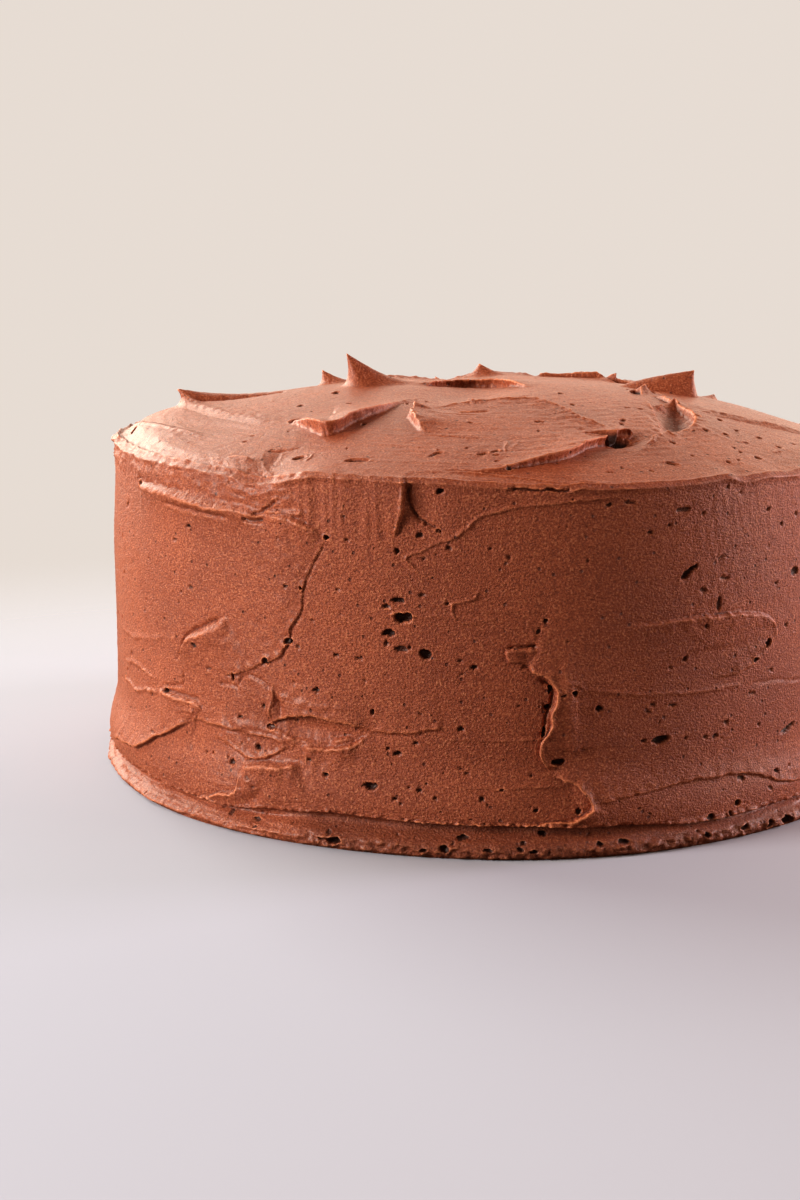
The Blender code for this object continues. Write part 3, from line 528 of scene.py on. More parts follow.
class Coat:
    """What is done to one face of the coat: how far each place comes out of it and slides along it, and
    how much painted shade it gets in a bubble or slit, from 0 to 1."""

    def __init__(self, u, v, unevenness):
        self.u, self.v, self.unevenness = u, v, unevenness
        self.out, self.slide_u, self.slide_v, self.painted_shade = np.zeros((4, *u.shape))

    def work(self, thing):
        ways = {Stroke: self.stroke, Line: self.line, Mound: self.mound, Pit: self.pit}
        ways[type(thing)](thing)

    def stroke(self, stroke):
        curve = smooth_curve(stroke.points)
        near = near_curve(curve, 3.0 * stroke.run, self.u, self.v)
        gap, share, left_u, left_v = against_curve(curve, self.u[near], self.v[near])
        ends = ease(0.0, stroke.grow, share) * ease(0.0, stroke.die, 1.0 - share)
        plate_ends = ease(0.0, max(stroke.grow, PLATE_END), share)
        plate_ends *= ease(0.0, max(stroke.die, PLATE_END), 1.0 - share)
        high = gap > 0.0
        face = np.exp(-(gap / stroke.cliff) ** 2)
        lip = np.where(high, np.exp(-np.abs(gap) / min(stroke.run, LIP_RUN)), face)
        plate = np.exp(-np.abs(gap) / stroke.run) * (1.0 - ease(*PLATE_FADE, gap / stroke.run))
        plate = np.where(high, plate, face)
        bead = BEAD_SHARE * stroke.bead * np.exp(-((gap - BEAD_PLACE) / BEAD_WIDTH) ** 2)
        crease_gap = gap + CREASE_PLACE * stroke.cliff
        crease = CREASE_DEPTH * np.exp(-(crease_gap / CREASE_WIDTH) ** 2)
        uneven = EDGE_UNEVENNESS * self.unevenness[near]
        self.out[near] += ends * ((stroke.rise * (1.0 - PLATE_SHARE) + uneven) * lip + bead - crease)
        self.out[near] += plate_ends * stroke.rise * PLATE_SHARE * plate
        if stroke.lean:
            pull = -stroke.lean * ends * np.where(high, np.exp(-gap / LEAN_RUN), face ** LEAN_FACE)
            self.slide_u[near] += pull * left_u
            self.slide_v[near] += pull * left_v

    def line(self, line):
        curve = smooth_curve(line.points)
        near = near_curve(curve, 3.0 * line.width, self.u, self.v)
        gap, share, _, _ = against_curve(curve, self.u[near], self.v[near])
        ends = ease(0.0, LINE_ENDS, share) * ease(0.0, LINE_ENDS, 1.0 - share)
        here = ends * np.exp(-(gap / line.width) ** 2)
        self.out[near] += line.rise * here * (1.0 + LINE_UNEVENNESS * self.unevenness[near])
        # grooves get painted shade, more the deeper they cut
        shade = LINE_SHADE * min(1.0, max(0.0, -line.rise) ** 1.5)
        self.painted_shade[near] = np.maximum(self.painted_shade[near], here * shade)

    def mound(self, mound):
        along, across = turned(self.u, self.v, mound.centre, mound.turn)
        self.out += mound.rise * np.exp(-(along / mound.length) ** 2 - (across / mound.width) ** 2)

    def pit(self, pit):
        reach = 2.0 * max(pit.width, pit.height)
        beside, above = self.u - pit.centre[0], self.v - pit.centre[1]
        near = np.flatnonzero((np.abs(beside) < reach) & (np.abs(above) < reach))
        along, across = turned(self.u[near], self.v[near], pit.centre, pit.turn)
        away = np.hypot(along / pit.width, across / pit.height)
        bowl = np.clip(1.0 - away ** BOWL_SHAPE, 0.0, 1.0) ** BOWL_ROUNDING
        rim = np.exp(-((away - PIT_RIM_PLACE) / PIT_RIM_WIDTH) ** 2)
        self.out[near] += PIT_RIM_RISE * rim * min(pit.depth, 1.0) - BOWL_DEPTH * pit.depth * bowl
        # painted shade over the bowl, darker for deeper bubbles
        shade = np.minimum(1.7 * bowl, 1.0) * min(1.0, 0.3 + 0.7 * pit.depth)
        self.painted_shade[near] = np.maximum(self.painted_shade[near], shade)


def turned(u, v, centre, turn):
    """Places in a mound's, pit's or peak's own axes."""
    c, s = math.cos(math.radians(turn)), math.sin(math.radians(turn))
    pu, pv = u - centre[0], v - centre[1]
    return pu * c + pv * s, pv * c - pu * s


def arc(azimuth):
    """Millimetres along the side for degrees round the cake."""
    return math.radians(azimuth) * SIDE_RADIUS


def hidden_side_strokes(rng):
    """Strokes for the far side: mostly level sweeps, and an upright one now and then."""
    strokes = []
    for i in range(HIDDEN_SIDE_STROKES):
        start = HIDDEN_FROM + (HIDDEN_TO - HIDDEN_FROM) * (i + rng.random()) / HIDDEN_SIDE_STROKES
        height = rng.uniform(*HIDDEN_SIDE_HEIGHTS)
        span = rng.uniform(*LEVEL_SPANS)
        slant = rng.uniform(*LEVEL_SLANTS)
        bow = rng.uniform(*LEVEL_BOWS)
        if i % UPRIGHT_EVERY == 2:
            span, slant = rng.uniform(*UPRIGHT_SPANS), rng.uniform(*UPRIGHT_SLANTS)
            height = min(height, HIDDEN_SIDE_HEIGHTS[1] - slant)
        points = [(start + span * t, height + slant * t + bow * math.sin(math.pi * t))
                  for t in (0.0, 0.35, 0.7, 1.0)]
        if rng.random() < 0.5:
            points.reverse()
        rise = rng.uniform(*HIDDEN_SIDE_RISES)
        strokes.append(Stroke(points, rise, rng.uniform(*HIDDEN_RUNS), 0.6, lean=0.3, bead=0.2))
    return strokes


def far_top_angle(share):
    """Degrees round the top from its right, for a share of the way over its far part."""
    return FAR_TOP_FROM + (FAR_TOP_TO - FAR_TOP_FROM) * share


def on_top(radius, angle):
    """A place on the top by its radius and degrees."""
    return radius * math.cos(math.radians(angle)), radius * math.sin(math.radians(angle))


def hidden_top_strokes(rng):
    """Arcs of strokes over the far part of the top."""
    strokes = []
    for i in range(HIDDEN_TOP_STROKES):
        radius = rng.uniform(*HIDDEN_TOP_RADII)
        start = far_top_angle((i + 0.6 * rng.random()) / HIDDEN_TOP_STROKES)
        drift = rng.uniform(*HIDDEN_TOP_DRIFTS)
        points = [on_top(radius + drift * t, start + HIDDEN_TOP_TURN * t) for t in (0.0, 0.33, 0.67, 1.0)]
        rise = rng.uniform(*HIDDEN_TOP_RISES)
        strokes.append(Stroke(points, rise, rng.uniform(*HIDDEN_RUNS), 1.0, lean=0.6, bead=0.3))
    return strokes


def hidden_peaks(rng):
    """Small drawn-up tips over the far part of the top."""
    made = []
    for i in range(HIDDEN_PEAKS):
        angle = far_top_angle((i + 0.7 * rng.random()) / HIDDEN_PEAKS)
        radius = rng.uniform(*HIDDEN_PEAK_RADII)
        height = rng.uniform(*HIDDEN_PEAK_HEIGHTS)
        made.append(Peak(on_top(radius, angle), height, 14, 4.5, 6, rng.uniform(0, 360), 1.4))
    return made


def chance_pit(rng, centre, width, widths, heights, depths, turns):
    """A small burst bubble whose measures are chance shares of one width."""
    return Pit(centre, width * rng.uniform(*widths), width * rng.uniform(*heights),
               width * rng.uniform(*depths), rng.uniform(*turns))


def chance_side_pits(rng):
    """Small burst bubbles round the side, more of them near the foot."""
    made = []
    for heights, count in ((SIDE_BUBBLE_HEIGHTS, SIDE_BUBBLES), (FOOT_BUBBLE_HEIGHTS, FOOT_BUBBLES)):
        for _ in range(count):
            width = LEAST_BUBBLE + 0.55 * rng.random() ** 3
            centre = (rng.uniform(-180, 180), rng.uniform(*heights))
            made.append(chance_pit(rng, centre, width, (1.0, 1.5), (0.6, 1.0), (0.5, 1.1), (-30, 30)))
    return made


def chance_top_pits(rng):
    """Small burst bubbles over the top."""
    made = []
    for _ in range(TOP_BUBBLES):
        radius, angle = TOP_BUBBLE_RADIUS * math.sqrt(rng.random()), rng.uniform(0, math.tau)
        width = LEAST_BUBBLE + 0.5 * rng.random() ** 3
        centre = (radius * math.cos(angle), radius * math.sin(angle))
        made.append(chance_pit(rng, centre, width, (1.0, 1.6), (0.7, 1.1), (0.5, 1.0), (0, 180)))
    return made


chance = random.Random(HIDDEN_SEED)
side_strokes = SIDE_STROKES + hidden_side_strokes(chance)
top_strokes = TOP_STROKES + hidden_top_strokes(chance)
peaks = PEAKS + hidden_peaks(chance)
chance = random.Random(BUBBLE_SEED)
side_pits = SIDE_PITS + chance_side_pits(chance)
top_pits = TOP_PITS + chance_top_pits(chance)


def on_side_arc(thing, middle):
    """A stroke, line, mound or pit in millimetres along the side from a middle azimuth."""
    if hasattr(thing, "points"):
        return thing._replace(points=[(arc(a - middle), z) for a, z in thing.points])
    return thing._replace(centre=(arc(thing.centre[0] - middle), thing.centre[1]))


def middle_azimuth(thing):
    if hasattr(thing, "points"):
        return sum(a for a, _ in thing.points) / len(thing.points)
    return thing.centre[0]


def arc_from(middle, azimuth):
    """Lengths along the side from a middle azimuth, the short way round."""
    return np.radians((azimuth - middle + 180.0) % 360.0 - 180.0) * SIDE_RADIUS


def edit(piece):
    """Go into edit mode with this piece alone."""
    bpy.ops.object.select_all(action="DESELECT")
    piece.select_set(True)
    bpy.context.view_layer.objects.active = piece
    bpy.ops.object.mode_set(mode="EDIT")


def leave_edit():
    bpy.ops.object.mode_set(mode="OBJECT")


def choose(piece, kind, wanted):
    """Select vertices, edges or polygons of a piece by a list of yes and no, and go into edit mode."""
    bpy.ops.object.mode_set(mode="OBJECT")
    mesh = piece.data
    for name in ("vertices", "edges", "polygons"):
        part = getattr(mesh, name)
        part.foreach_set("select", np.asarray(wanted, bool) if name == kind else np.zeros(len(part), bool))
    edit(piece)
    bpy.ops.mesh.select_mode(type={"vertices": "VERT", "edges": "EDGE", "polygons": "FACE"}[kind])


def read(items, name, width=3, kind=float):
    """One row of numbers for each vertex, edge, polygon or attribute value of a mesh."""
    flat = np.empty(len(items) * width, dtype=kind)
    items.foreach_get(name, flat)
    return flat.reshape(-1, width)


def places_of(mesh):
    return read(mesh.vertices, "co") / MM


def set_places(mesh, places):
    mesh.vertices.foreach_set("co", (places * MM).ravel())
    mesh.update()


def edge_ends(mesh):
    return read(mesh.edges, "vertices", 2, np.int64)


def polygon_middles(mesh):
    return read(mesh.polygons, "center") / MM


def draw_up(height, radius):
    """Extrude the selected ring to a new height above the old one, and to a new radius."""
    bpy.ops.mesh.extrude_region_move(TRANSFORM_OT_translate={"value": (0.0, 0.0, height * MM)})
    if radius != 1.0:
        bpy.ops.transform.resize(value=(radius, radius, 1.0))


def cut_upright_edges(piece, low, high, step):
    """Cut the upright edges between two heights into even lengths."""
    bpy.ops.object.mode_set(mode="OBJECT")
    heights = places_of(piece.data)[:, 2][edge_ends(piece.data)]
    upright = (heights.min(axis=1) > low - 0.01) & (heights.max(axis=1) < high + 0.01)
    upright &= np.ptp(heights, axis=1) > 1.0
    choose(piece, "edges", upright)
    bpy.ops.mesh.subdivide(number_cuts=max(1, round((high - low) / step) - 1))


def round_side():
    """The side, the rounded rim and the underside, drawn from one ring."""
    bpy.ops.object.select_all(action="DESELECT")
    bpy.ops.mesh.primitive_circle_add(vertices=SECTORS, radius=SIDE_RADIUS * MM, fill_type="NOTHING")
    side = bpy.context.object
    side.name = "coat"
    side_top = RIM_HEIGHT - RIM_ROUNDING
    inner = SIDE_RADIUS - RIM_ROUNDING
    edit(side)
    bpy.ops.mesh.select_mode(type="EDGE")
    bpy.ops.mesh.select_all(action="SELECT")
    draw_up(SKIRT_TOP, 1.0)
    draw_up(side_top - SKIRT_TOP, 1.0)
    height, radius = side_top, SIDE_RADIUS
    for turn in RIM_TURNS:
        a = math.radians(turn)
        next_height = side_top + RIM_ROUNDING * math.sin(a)
        next_radius = inner + RIM_ROUNDING * math.cos(a)
        draw_up(next_height - height, next_radius / radius)
        height, radius = next_height, next_radius
    cut_upright_edges(side, 0.0, SKIRT_TOP, SKIRT_RING_STEP)
    cut_upright_edges(side, SKIRT_TOP, side_top, RING_STEP)
    bpy.ops.object.mode_set(mode="OBJECT")
    heights = places_of(side.data)[:, 2][edge_ends(side.data)]
    choose(side, "edges", heights.max(axis=1) < 0.001)
    radius = SIDE_RADIUS
    for next_radius in UNDERSIDE_RADII:
        draw_up(0.0, next_radius / radius)
        radius = next_radius
    bpy.ops.mesh.merge(type="CENTER")
    leave_edit()
    return side


def round_top():
    """A square grid drawn round, with the dome's rise, whose border meets the rim's ring."""
    bpy.ops.object.select_all(action="DESELECT")
    cells = SECTORS // 4
    bpy.ops.mesh.primitive_grid_add(x_subdivisions=cells, y_subdivisions=cells, size=2.0 * MM)
    top = bpy.context.object
    square = places_of(top.data)
    a, b = square[:, 0], square[:, 1]
    wide = np.abs(a) >= np.abs(b)
    long_way = np.where(wide, a, b)
    short_way = np.where(wide, b, a)
    turn = math.pi / 4.0 * short_way / np.where(np.abs(long_way) < 1e-9, 1.0, long_way)
    along, across = long_way * np.cos(turn), long_way * np.sin(turn)
    inner = SIDE_RADIUS - RIM_ROUNDING
    x, y = np.where(wide, along, across) * inner, np.where(wide, across, along) * inner
    z = RIM_HEIGHT + DOME_RISE * (1.0 - (x * x + y * y) / inner ** 2)
    set_places(top.data, np.stack([x, y, z], axis=1))
    return top


def plain_cake():
    side = round_side()
    top = round_top()
    bpy.ops.object.select_all(action="DESELECT")
    top.select_set(True)
    side.select_set(True)
    bpy.context.view_layer.objects.active = side
    bpy.ops.object.join()
    edit(side)
    bpy.ops.mesh.select_all(action="SELECT")
    bpy.ops.mesh.remove_doubles(threshold=0.02 * MM)
    bpy.ops.mesh.normals_make_consistent(inside=False)
    leave_edit()
    return side


def azimuth_of(places):
    return np.degrees(np.arctan2(places[:, 0], -places[:, 1]))


def is_on_top(places):
    return places[:, 2] > RIM_HEIGHT - 0.2


def needs_finer_faces(places):
    """Where a steep face or a peak needs more cuts than the plain coat has."""
    azimuth, height = azimuth_of(places), places[:, 2]
    top = is_on_top(places)
    side = ~top & (height > 0.01)
    wanted = np.zeros(len(places), bool)

    def close_to(points, u, v, reach, allowed):
        """Mark the allowed places that lie close to a curve."""
        curve = smooth_curve(points)
        near = near_curve(curve, FINE_REACH, u, v)
        near = near[allowed[near]]
        gap = against_curve(curve, u[near], v[near])[0]
        wanted[near[np.abs(gap) < reach]] = True

    for thing in side_strokes + SIDE_LINES:
        middle = middle_azimuth(thing)
        close_to(on_side_arc(thing, middle).points, arc_from(middle, azimuth), height, FINE_REACH, side)
    for thing in top_strokes + TOP_LINES:
        close_to(thing.points, places[:, 0], places[:, 1], FINE_TOP_REACH, top)
    for peak in peaks:
        away = np.hypot(places[:, 0] - peak.foot[0], places[:, 1] - peak.foot[1])
        wanted |= top & (away < FINE_PEAK_REACH)
    return wanted


def holds_bubble(places):
    """Where a bubble needs more cuts."""
    azimuth, height = azimuth_of(places), places[:, 2]
    top = is_on_top(places)
    wanted = np.zeros(len(places), bool)
    for pit in side_pits:
        away = np.hypot(arc_from(pit.centre[0], azimuth), height - pit.centre[1])
        wanted |= ~top & (away < BUBBLE_REACH * max(pit.width, pit.height) + BUBBLE_MARGIN)
    for pit in top_pits:
        away = np.hypot(places[:, 0] - pit.centre[0], places[:, 1] - pit.centre[1])
        wanted |= top & (away < BUBBLE_REACH * max(pit.width, pit.height) + BUBBLE_MARGIN)
    return wanted


def cut_finer(cake):
    for wants_cuts in (needs_finer_faces, holds_bubble):
        choose(cake, "polygons", wants_cuts(polygon_middles(cake.data)))
        bpy.ops.mesh.subdivide(number_cuts=1)
        leave_edit()


def side_form(azimuth, height):
    """How far the plain skirt, the coat's lower edge and the slow waves stand out."""
    shoulder = profile(FOOT_SHOULDERS, azimuth)
    foot = profile(FOOT_REACHES, azimuth)
    foot *= 1.0 - ease(shoulder, shoulder + FOOT_SLOPE, height)
    foot -= FOOT_EDGE_ROUNDING * (1.0 - ease(0.0, FOOT_EDGE_ROUNDING, height))
    coat_edge = profile(COAT_EDGES, azimuth)
    coat = COAT_REACH * ease(coat_edge - COAT_LIP, coat_edge + COAT_LIP, height)
    coat *= 1.0 - ease(coat_edge + COAT_SWELL, coat_edge + COAT_FADE, height)
    waves = BROAD_WAVE_REACH * np.sin(np.radians(BROAD_WAVES * azimuth))
    waves += NARROW_WAVE_REACH * np.sin(np.radians(NARROW_WAVES * azimuth) + height * NARROW_WAVE_TWIST)
    waves -= LEFT_IN * within(-105, -66, 14, azimuth) * ease(62, 92, height)
    return foot + coat + waves


def side_grain(places, azimuth, height):
    """The frosting's own texture on the side: level streaks, flutes, grain and the rough edges."""
    coat_edge = profile(COAT_EDGES, azimuth)
    on_coat = ease(coat_edge, coat_edge + 1.2, height)
    under_coat = (1.0 - on_coat) * ease(2.6, 3.6, height)
    on_foot = 1.0 - ease(3.0, 4.6, height)
    rolled = on_foot * within(-150, -32, 12, azimuth)
    crumbly = on_foot * (1.0 - 0.45 * rolled)
    left = within(-150, -25, 14, azimuth)
    right = ease(14, 32, azimuth) * (1.0 - ease(140, 172, azimuth)) * ease(42, 66, height)
    fluted = within(-26, -13, 3, azimuth) * ease(76, 84, height)
    torn = within(-84, -30, 6, azimuth) * ease(86.5, 89.5, height)
    crumbs = np.exp(-((height - coat_edge - 0.5) / 0.6) ** 2)
    # how far each kind of lumps stands out, their size and their seed
    layers = [(0.05 * on_coat, (11, 11, 1.1), 21),
              (on_coat * (0.02 + 0.06 * left), (3, 3, 1), 22),
              (0.035 * on_coat, (3.4, 3.4, 2.6), 23),
              (0.022, (1.1, 1.1, 1), 24),
              (0.09 * right, (1.25, 1.25, 2.6), 33),
              (0.26 * fluted, (2, 2, 26), 25),
              (0.22 * torn, (1.7, 1.7, 0.9), 27),
              (0.5 * under_coat, (16, 16, 1.3), 28),
              (0.2 * under_coat, (7, 7, 1), 29),
              (0.48 * crumbly, (2.3, 2.3, 1.4), 30),
              (0.32 * crumbly, 1.2, 31),
              (0.55 * rolled, (18, 18, 1.2), 34)]
    out = sum(strength * lumps(places, size, seed) for strength, size, seed in layers)
    out += torn * 0.42 * np.clip(lumps(places, (4.4, 4.4, 1.0), 26) + 0.1, -0.5, 1.0)
    out += crumbs * 0.8 * np.clip(lumps(places, (1.4, 1.4, 0.9), 32), -0.4, 1.0)
    return out


def top_grain(places, radius):
    """The frosting's own texture on the top: faint arcs left by the knife, and grain."""
    x, y, _ = places.T
    spin = np.stack([x / radius * 40.0, y / radius * 40.0, radius], axis=1)
    out = 0.08 * lumps(spin, (9.0, 9.0, 1.3), 41) * ease(12, 30, radius)
    out += 0.07 * lumps(places, 2.6, 42) + 0.045 * lumps(places, 1.1, 43)
    return out


def peak_relief(peak, x, y):
    """A peak's height, and how far it hangs over along X and along Y."""
    along, across = turned(x, y, peak.foot, peak.turn)
    reach = np.where(along > 0, peak.back, peak.face)
    near = np.clip(1.0 - np.hypot(along / reach, across / peak.thickness), 0.0, 1.0)
    turn = math.radians(peak.turn)
    hang = -peak.lean * near ** 2.6
    return peak.height * near ** peak.hollow, hang * math.cos(turn), hang * math.sin(turn)


def side_relief(places, azimuth, wander_u, wander_v, unevenness):
    """How far each place of the side stands out, slides round and slides up, and how much painted shade it
    gets.
    """
    out, slide_round, slide_up, painted_shade = np.zeros((4, len(places)))
    z = places[:, 2]
    height = np.minimum(z, RIM_HEIGHT)
    clear = ease(STROKES_FROM, STROKES_FULL_FROM, height)
    rows = np.flatnonzero((z < RIM_HEIGHT + SIDE_OVER_RIM) & (z > FLAT))
    for thing in side_strokes + SIDE_LINES + SIDE_MOUNDS + side_pits:
        is_pit = isinstance(thing, Pit)
        middle = middle_azimuth(thing)
        u = arc_from(middle, azimuth[rows]) + wander_u[rows]
        close = np.abs(u) < (PIT_SPAN if is_pit else STROKE_SPAN)
        at = rows[close]
        patch = Coat(u[close], height[at] + wander_v[at], unevenness[at])
        patch.work(on_side_arc(thing, middle))
        held = 1.0 if is_pit else clear[at]
        out[at] += held * patch.out
        slide_round[at] += held * patch.slide_u
        slide_up[at] += held * patch.slide_v
        painted_shade[at] = np.maximum(painted_shade[at], held * patch.painted_shade)
    out[rows] += side_grain(places[rows], azimuth[rows], height[rows])
    return out, slide_round, slide_up, painted_shade


def top_relief(places, radius, wander_u, wander_v, unevenness):
    """How far each place of the top stands up, slides along X and along Y, and how much painted shade it
    gets.
    """
    rows = np.flatnonzero(places[:, 2] > RIM_HEIGHT - RIM_LIFT_DEPTH / 2)
    x, y, z = places[rows].T
    coat = Coat(x + wander_u[rows], y + wander_v[rows], unevenness[rows])
    for thing in top_strokes + TOP_MOUNDS:
        coat.work(thing)
    inside = 1.0 - ease(TOP_STROKES_FULL_TO, TOP_STROKES_TO, radius[rows])
    coat.out *= inside
    for thing in TOP_LINES + top_pits:
        coat.work(thing)
    coat.out += top_grain(places[rows], radius[rows])
    coat.slide_u *= inside
    coat.slide_v *= inside
    for peak in peaks:
        up, lean_x, lean_y = peak_relief(peak, x, y)
        coat.out += up
        coat.slide_u += lean_x
        coat.slide_v += lean_y
    relief = np.zeros((4, len(places)))
    relief[:, rows] = np.stack([coat.out, coat.slide_u, coat.slide_v, coat.painted_shade])
    relief[:, rows] *= ease(RIM_HEIGHT - RIM_LIFT_DEPTH / 2, RIM_HEIGHT, z)
    return relief


def rim_lift(azimuth, from_rim, z, worn, lip):
    """How far the rim and what lies near it rise or sink."""
    lift = profile(RIM_LIFTS, azimuth) * np.exp(-from_rim / RIM_LIFT_RUN)
    lift += profile(RIM_NOTCHES, azimuth) * np.exp(-from_rim / RIM_NOTCH_RUN)
    lift -= WORN_DOWN * worn * np.exp(-from_rim / WORN_RUN)
    lift *= ease(RIM_HEIGHT - RIM_LIFT_DEPTH, RIM_HEIGHT, z)
    lift += LIP_UP * lip * ease(RIM_HEIGHT - RIM_ROUNDING, RIM_HEIGHT, z)
    return lift


def wander(places, seed):
    """How far a hand's unsteadiness shifts each place of a stroke, line or bubble."""
    return 0.34 * lumps(places, 3.2, seed) + 0.18 * lumps(places, 1.1, seed + 1)


def work_coat(cake):
    """Push the plain cake's surface into the coat's real relief."""
    places = places_of(cake.data)
    x, y, z = places.T
    radius = np.maximum(np.hypot(x, y), 1e-6)
    azimuth = azimuth_of(places)
    wander_u, wander_v = wander(places, 51), wander(places, 53)
    unevenness = lumps(places, 2.2, 55)
    out, slide_round, slide_up, side_painted_shade = side_relief(places, azimuth, wander_u, wander_v, unevenness)
    rise, slide_x, slide_y, top_painted_shade = top_relief(places, radius, wander_u, wander_v, unevenness)

    # the rim: its broken lip, and the worn shoulder at the left
    ragged = 0.7 - 0.35 * within(-28, 42, 10, azimuth)
    broken = 0.6 + 0.7 * within(-100, -30, 9, azimuth) + ragged * lumps(places, (3.2, 3.2, 1.4), 56)
    worn = within(WORN_FROM, WORN_TO, WORN_SOFT, azimuth)
    from_rim = SIDE_RADIUS - radius
    out += LIP_OUT * broken * np.exp(-((z - RIM_HEIGHT + LIP_PLACE) / LIP_WIDTH) ** 2)
    out -= WORN_IN * worn * ease(RIM_HEIGHT - WORN_RUN, RIM_HEIGHT, z)
    lip = broken * np.exp(-((from_rim - LIP_PLACE) / LIP_WIDTH) ** 2)
    lift = rim_lift(azimuth, from_rim, z, worn, lip)

    side_share = ease(TOP_STROKES_FULL_TO, SIDE_RADIUS, radius)
    underside = z < FLAT
    form = side_form(azimuth, np.minimum(z, RIM_HEIGHT))
    out = side_share * np.where(underside, form, out + form)
    slide_round, slide_up = slide_round * side_share, slide_up * side_share
    round_x, round_y = x / radius, y / radius
    moved = np.stack([x + out * round_x - slide_round * round_y + slide_x,
                      y + out * round_y + slide_round * round_x + slide_y,
                      np.where(underside, 0.0, np.maximum(z + rise + lift + slide_up, 0.0))], axis=1)
    set_places(cake.data, moved)

    # painted shade on the front of the foot below the coat's lower edge, joined with the painted shade of
    # bubbles and slits
    shaded = within(-20, 46, 16, azimuth) * (z < RIM_HEIGHT + SIDE_OVER_RIM)
    shaded *= 1.0 - ease(-1.0, 1.5, z - profile(COAT_EDGES, azimuth))
    painted_shade = np.maximum.reduce([side_painted_shade, FOOT_SHADE * shaded, top_painted_shade])
    mark = cake.data.attributes.new("painted_shade", "FLOAT", "POINT")
    mark.data.foreach_set("value", np.clip(painted_shade, 0.0, 1.0))


def mark_crests(mesh):
    """How sharply the coat stands out or draws in at each place, smoothed, as an attribute from 0 to 1."""
    places, normals, ends = places_of(mesh), read(mesh.vertices, "normal"), edge_ends(mesh)
    first, second = ends.T

    def gathered(to_first, to_second):
        """Each place's sum of what its edges bring."""
        total = np.bincount(first, weights=to_first, minlength=len(places))
        total += np.bincount(second, weights=to_second, minlength=len(places))
        return total

    count = gathered(np.ones(len(ends)), np.ones(len(ends)))

    def around(values):
        """The mean of each place's neighbours."""
        return gathered(values[second], values[first]) / count

    softened = np.stack([around(places[:, axis]) for axis in range(3)], axis=1)
    spacing = np.hypot.reduce(places[first] - places[second], axis=1) ** 2
    spread = gathered(spacing, spacing) / count
    bend = ((places - softened) * normals).sum(axis=1) / np.maximum(spread, 1e-6)
    bend = np.clip(bend, -1.5, 1.5)
    for _ in range(3):
        bend = 0.5 * bend + 0.5 * around(bend)
    # this drives the painted light on crests and the painted shade in hollows
    mark = mesh.attributes.new("crest", "FLOAT", "POINT")
    mark.data.foreach_set("value", np.clip(0.5 + 0.5 * bend, 0.0, 1.0))


PARTS = ("side_front_left", "side_front_right", "side_right", "side_back", "side_left", "top_front",
         "top_middle", "top_back")
SIDE_PARTS = 5
SIDE_CUTS = (-90.0, -20.0, 45.0, 115.0, 195.0)
TOP_CUTS = (-38.0, 22.0)


def cut_into_parts(cake, flat_middles):
    """The coat in parts small enough to pass on, each with the shading of the whole."""
    mesh = cake.data
    azimuth = (azimuth_of(flat_middles) + 90.0) % 360.0 - 90.0
    part = np.clip(np.searchsorted(SIDE_CUTS, azimuth, side="right") - 1, 0, SIDE_PARTS - 1)
    top = is_on_top(flat_middles)
    part[top] = SIDE_PARTS + np.searchsorted(TOP_CUTS, flat_middles[top, 1])
    mesh.attributes.new("part", "INT", "FACE").data.foreach_set("value", part.astype(np.int32))
    shading = mesh.attributes.new("whole shading", "FLOAT_VECTOR", "POINT")
    shading.data.foreach_set("vector", read(mesh.vertices, "normal").ravel())
    pieces = []
    for number in range(1, len(PARTS)):
        numbers = read(mesh.attributes["part"].data, "value", 1, np.int32).ravel()
        choose(cake, "polygons", numbers == number)
        before = set(bpy.data.objects)
        bpy.ops.mesh.separate(type="SELECTED")
        leave_edit()
        piece = (set(bpy.data.objects) - before).pop()
        piece.name = piece.data.name = "coat_" + PARTS[number]
        pieces.append(piece)
    cake.name = cake.data.name = "coat_" + PARTS[0]
    pieces.append(cake)
    for piece in pieces:
        marks = piece.data.attributes
        whole = read(marks["whole shading"].data, "vector")
        piece.data.normals_split_custom_set_from_vertices(whole.tolist())
        marks.remove(marks["whole shading"])
        marks.remove(marks["part"])
    return pieces


# The frosting

# Its colours: two that mottle it, painted shade in the dips between its grains and painted glints on their
# tops, painted light on crests, and painted shade in hollows, bubbles, slits and at the foot
FROSTING_DARK = (0.290, 0.060, 0.0215, 1.0)
FROSTING_LIGHT = (0.385, 0.087, 0.0325, 1.0)
FROSTING_PAINTED_GRAIN_SHADE = (0.200, 0.036, 0.012, 1.0)
FROSTING_PAINTED_GLINT = (0.520, 0.170, 0.078, 1.0)
FROSTING_PAINTED_CREST_LIGHT = (0.600, 0.180, 0.075, 1.0)
FROSTING_PAINTED_HOLLOW_SHADE = (0.120, 0.019, 0.006, 1.0)
FROSTING_PAINTED_DEEP_SHADE = (0.044, 0.0075, 0.0022, 1.0)

# Its gloss, and the sizes of its mottle, grain, streaks and specks of air
FROSTING_IOR, GLOSS_IOR, GLOSS_ROUGHNESS = 1.38, 1.4, 0.3
MOTTLE_SCALE = 45.0
GRAIN_SIZE = 0.00056
STREAK_STRETCH = (0.5, 0.5, 1.8)
SPECK_SPACING, SPECK_EDGE, SPECK_DROP = 0.0042, (0.13, 0.06), -0.8


def feed(made, feeds):
    """Give a node's sockets a value each, or another node's output to read."""
    for name, value in feeds.items():
        if isinstance(value, bpy.types.NodeSocket):
            made.id_data.links.new(value, made.inputs[name])
        else:
            made.inputs[name].default_value = value


def node(tree, kind, place, feeds=None, **settings):
    made = tree.nodes.new(kind)
    made.location = place
    for name, value in settings.items():
        setattr(made, name, value)
    feed(made, feeds or {})
    return made


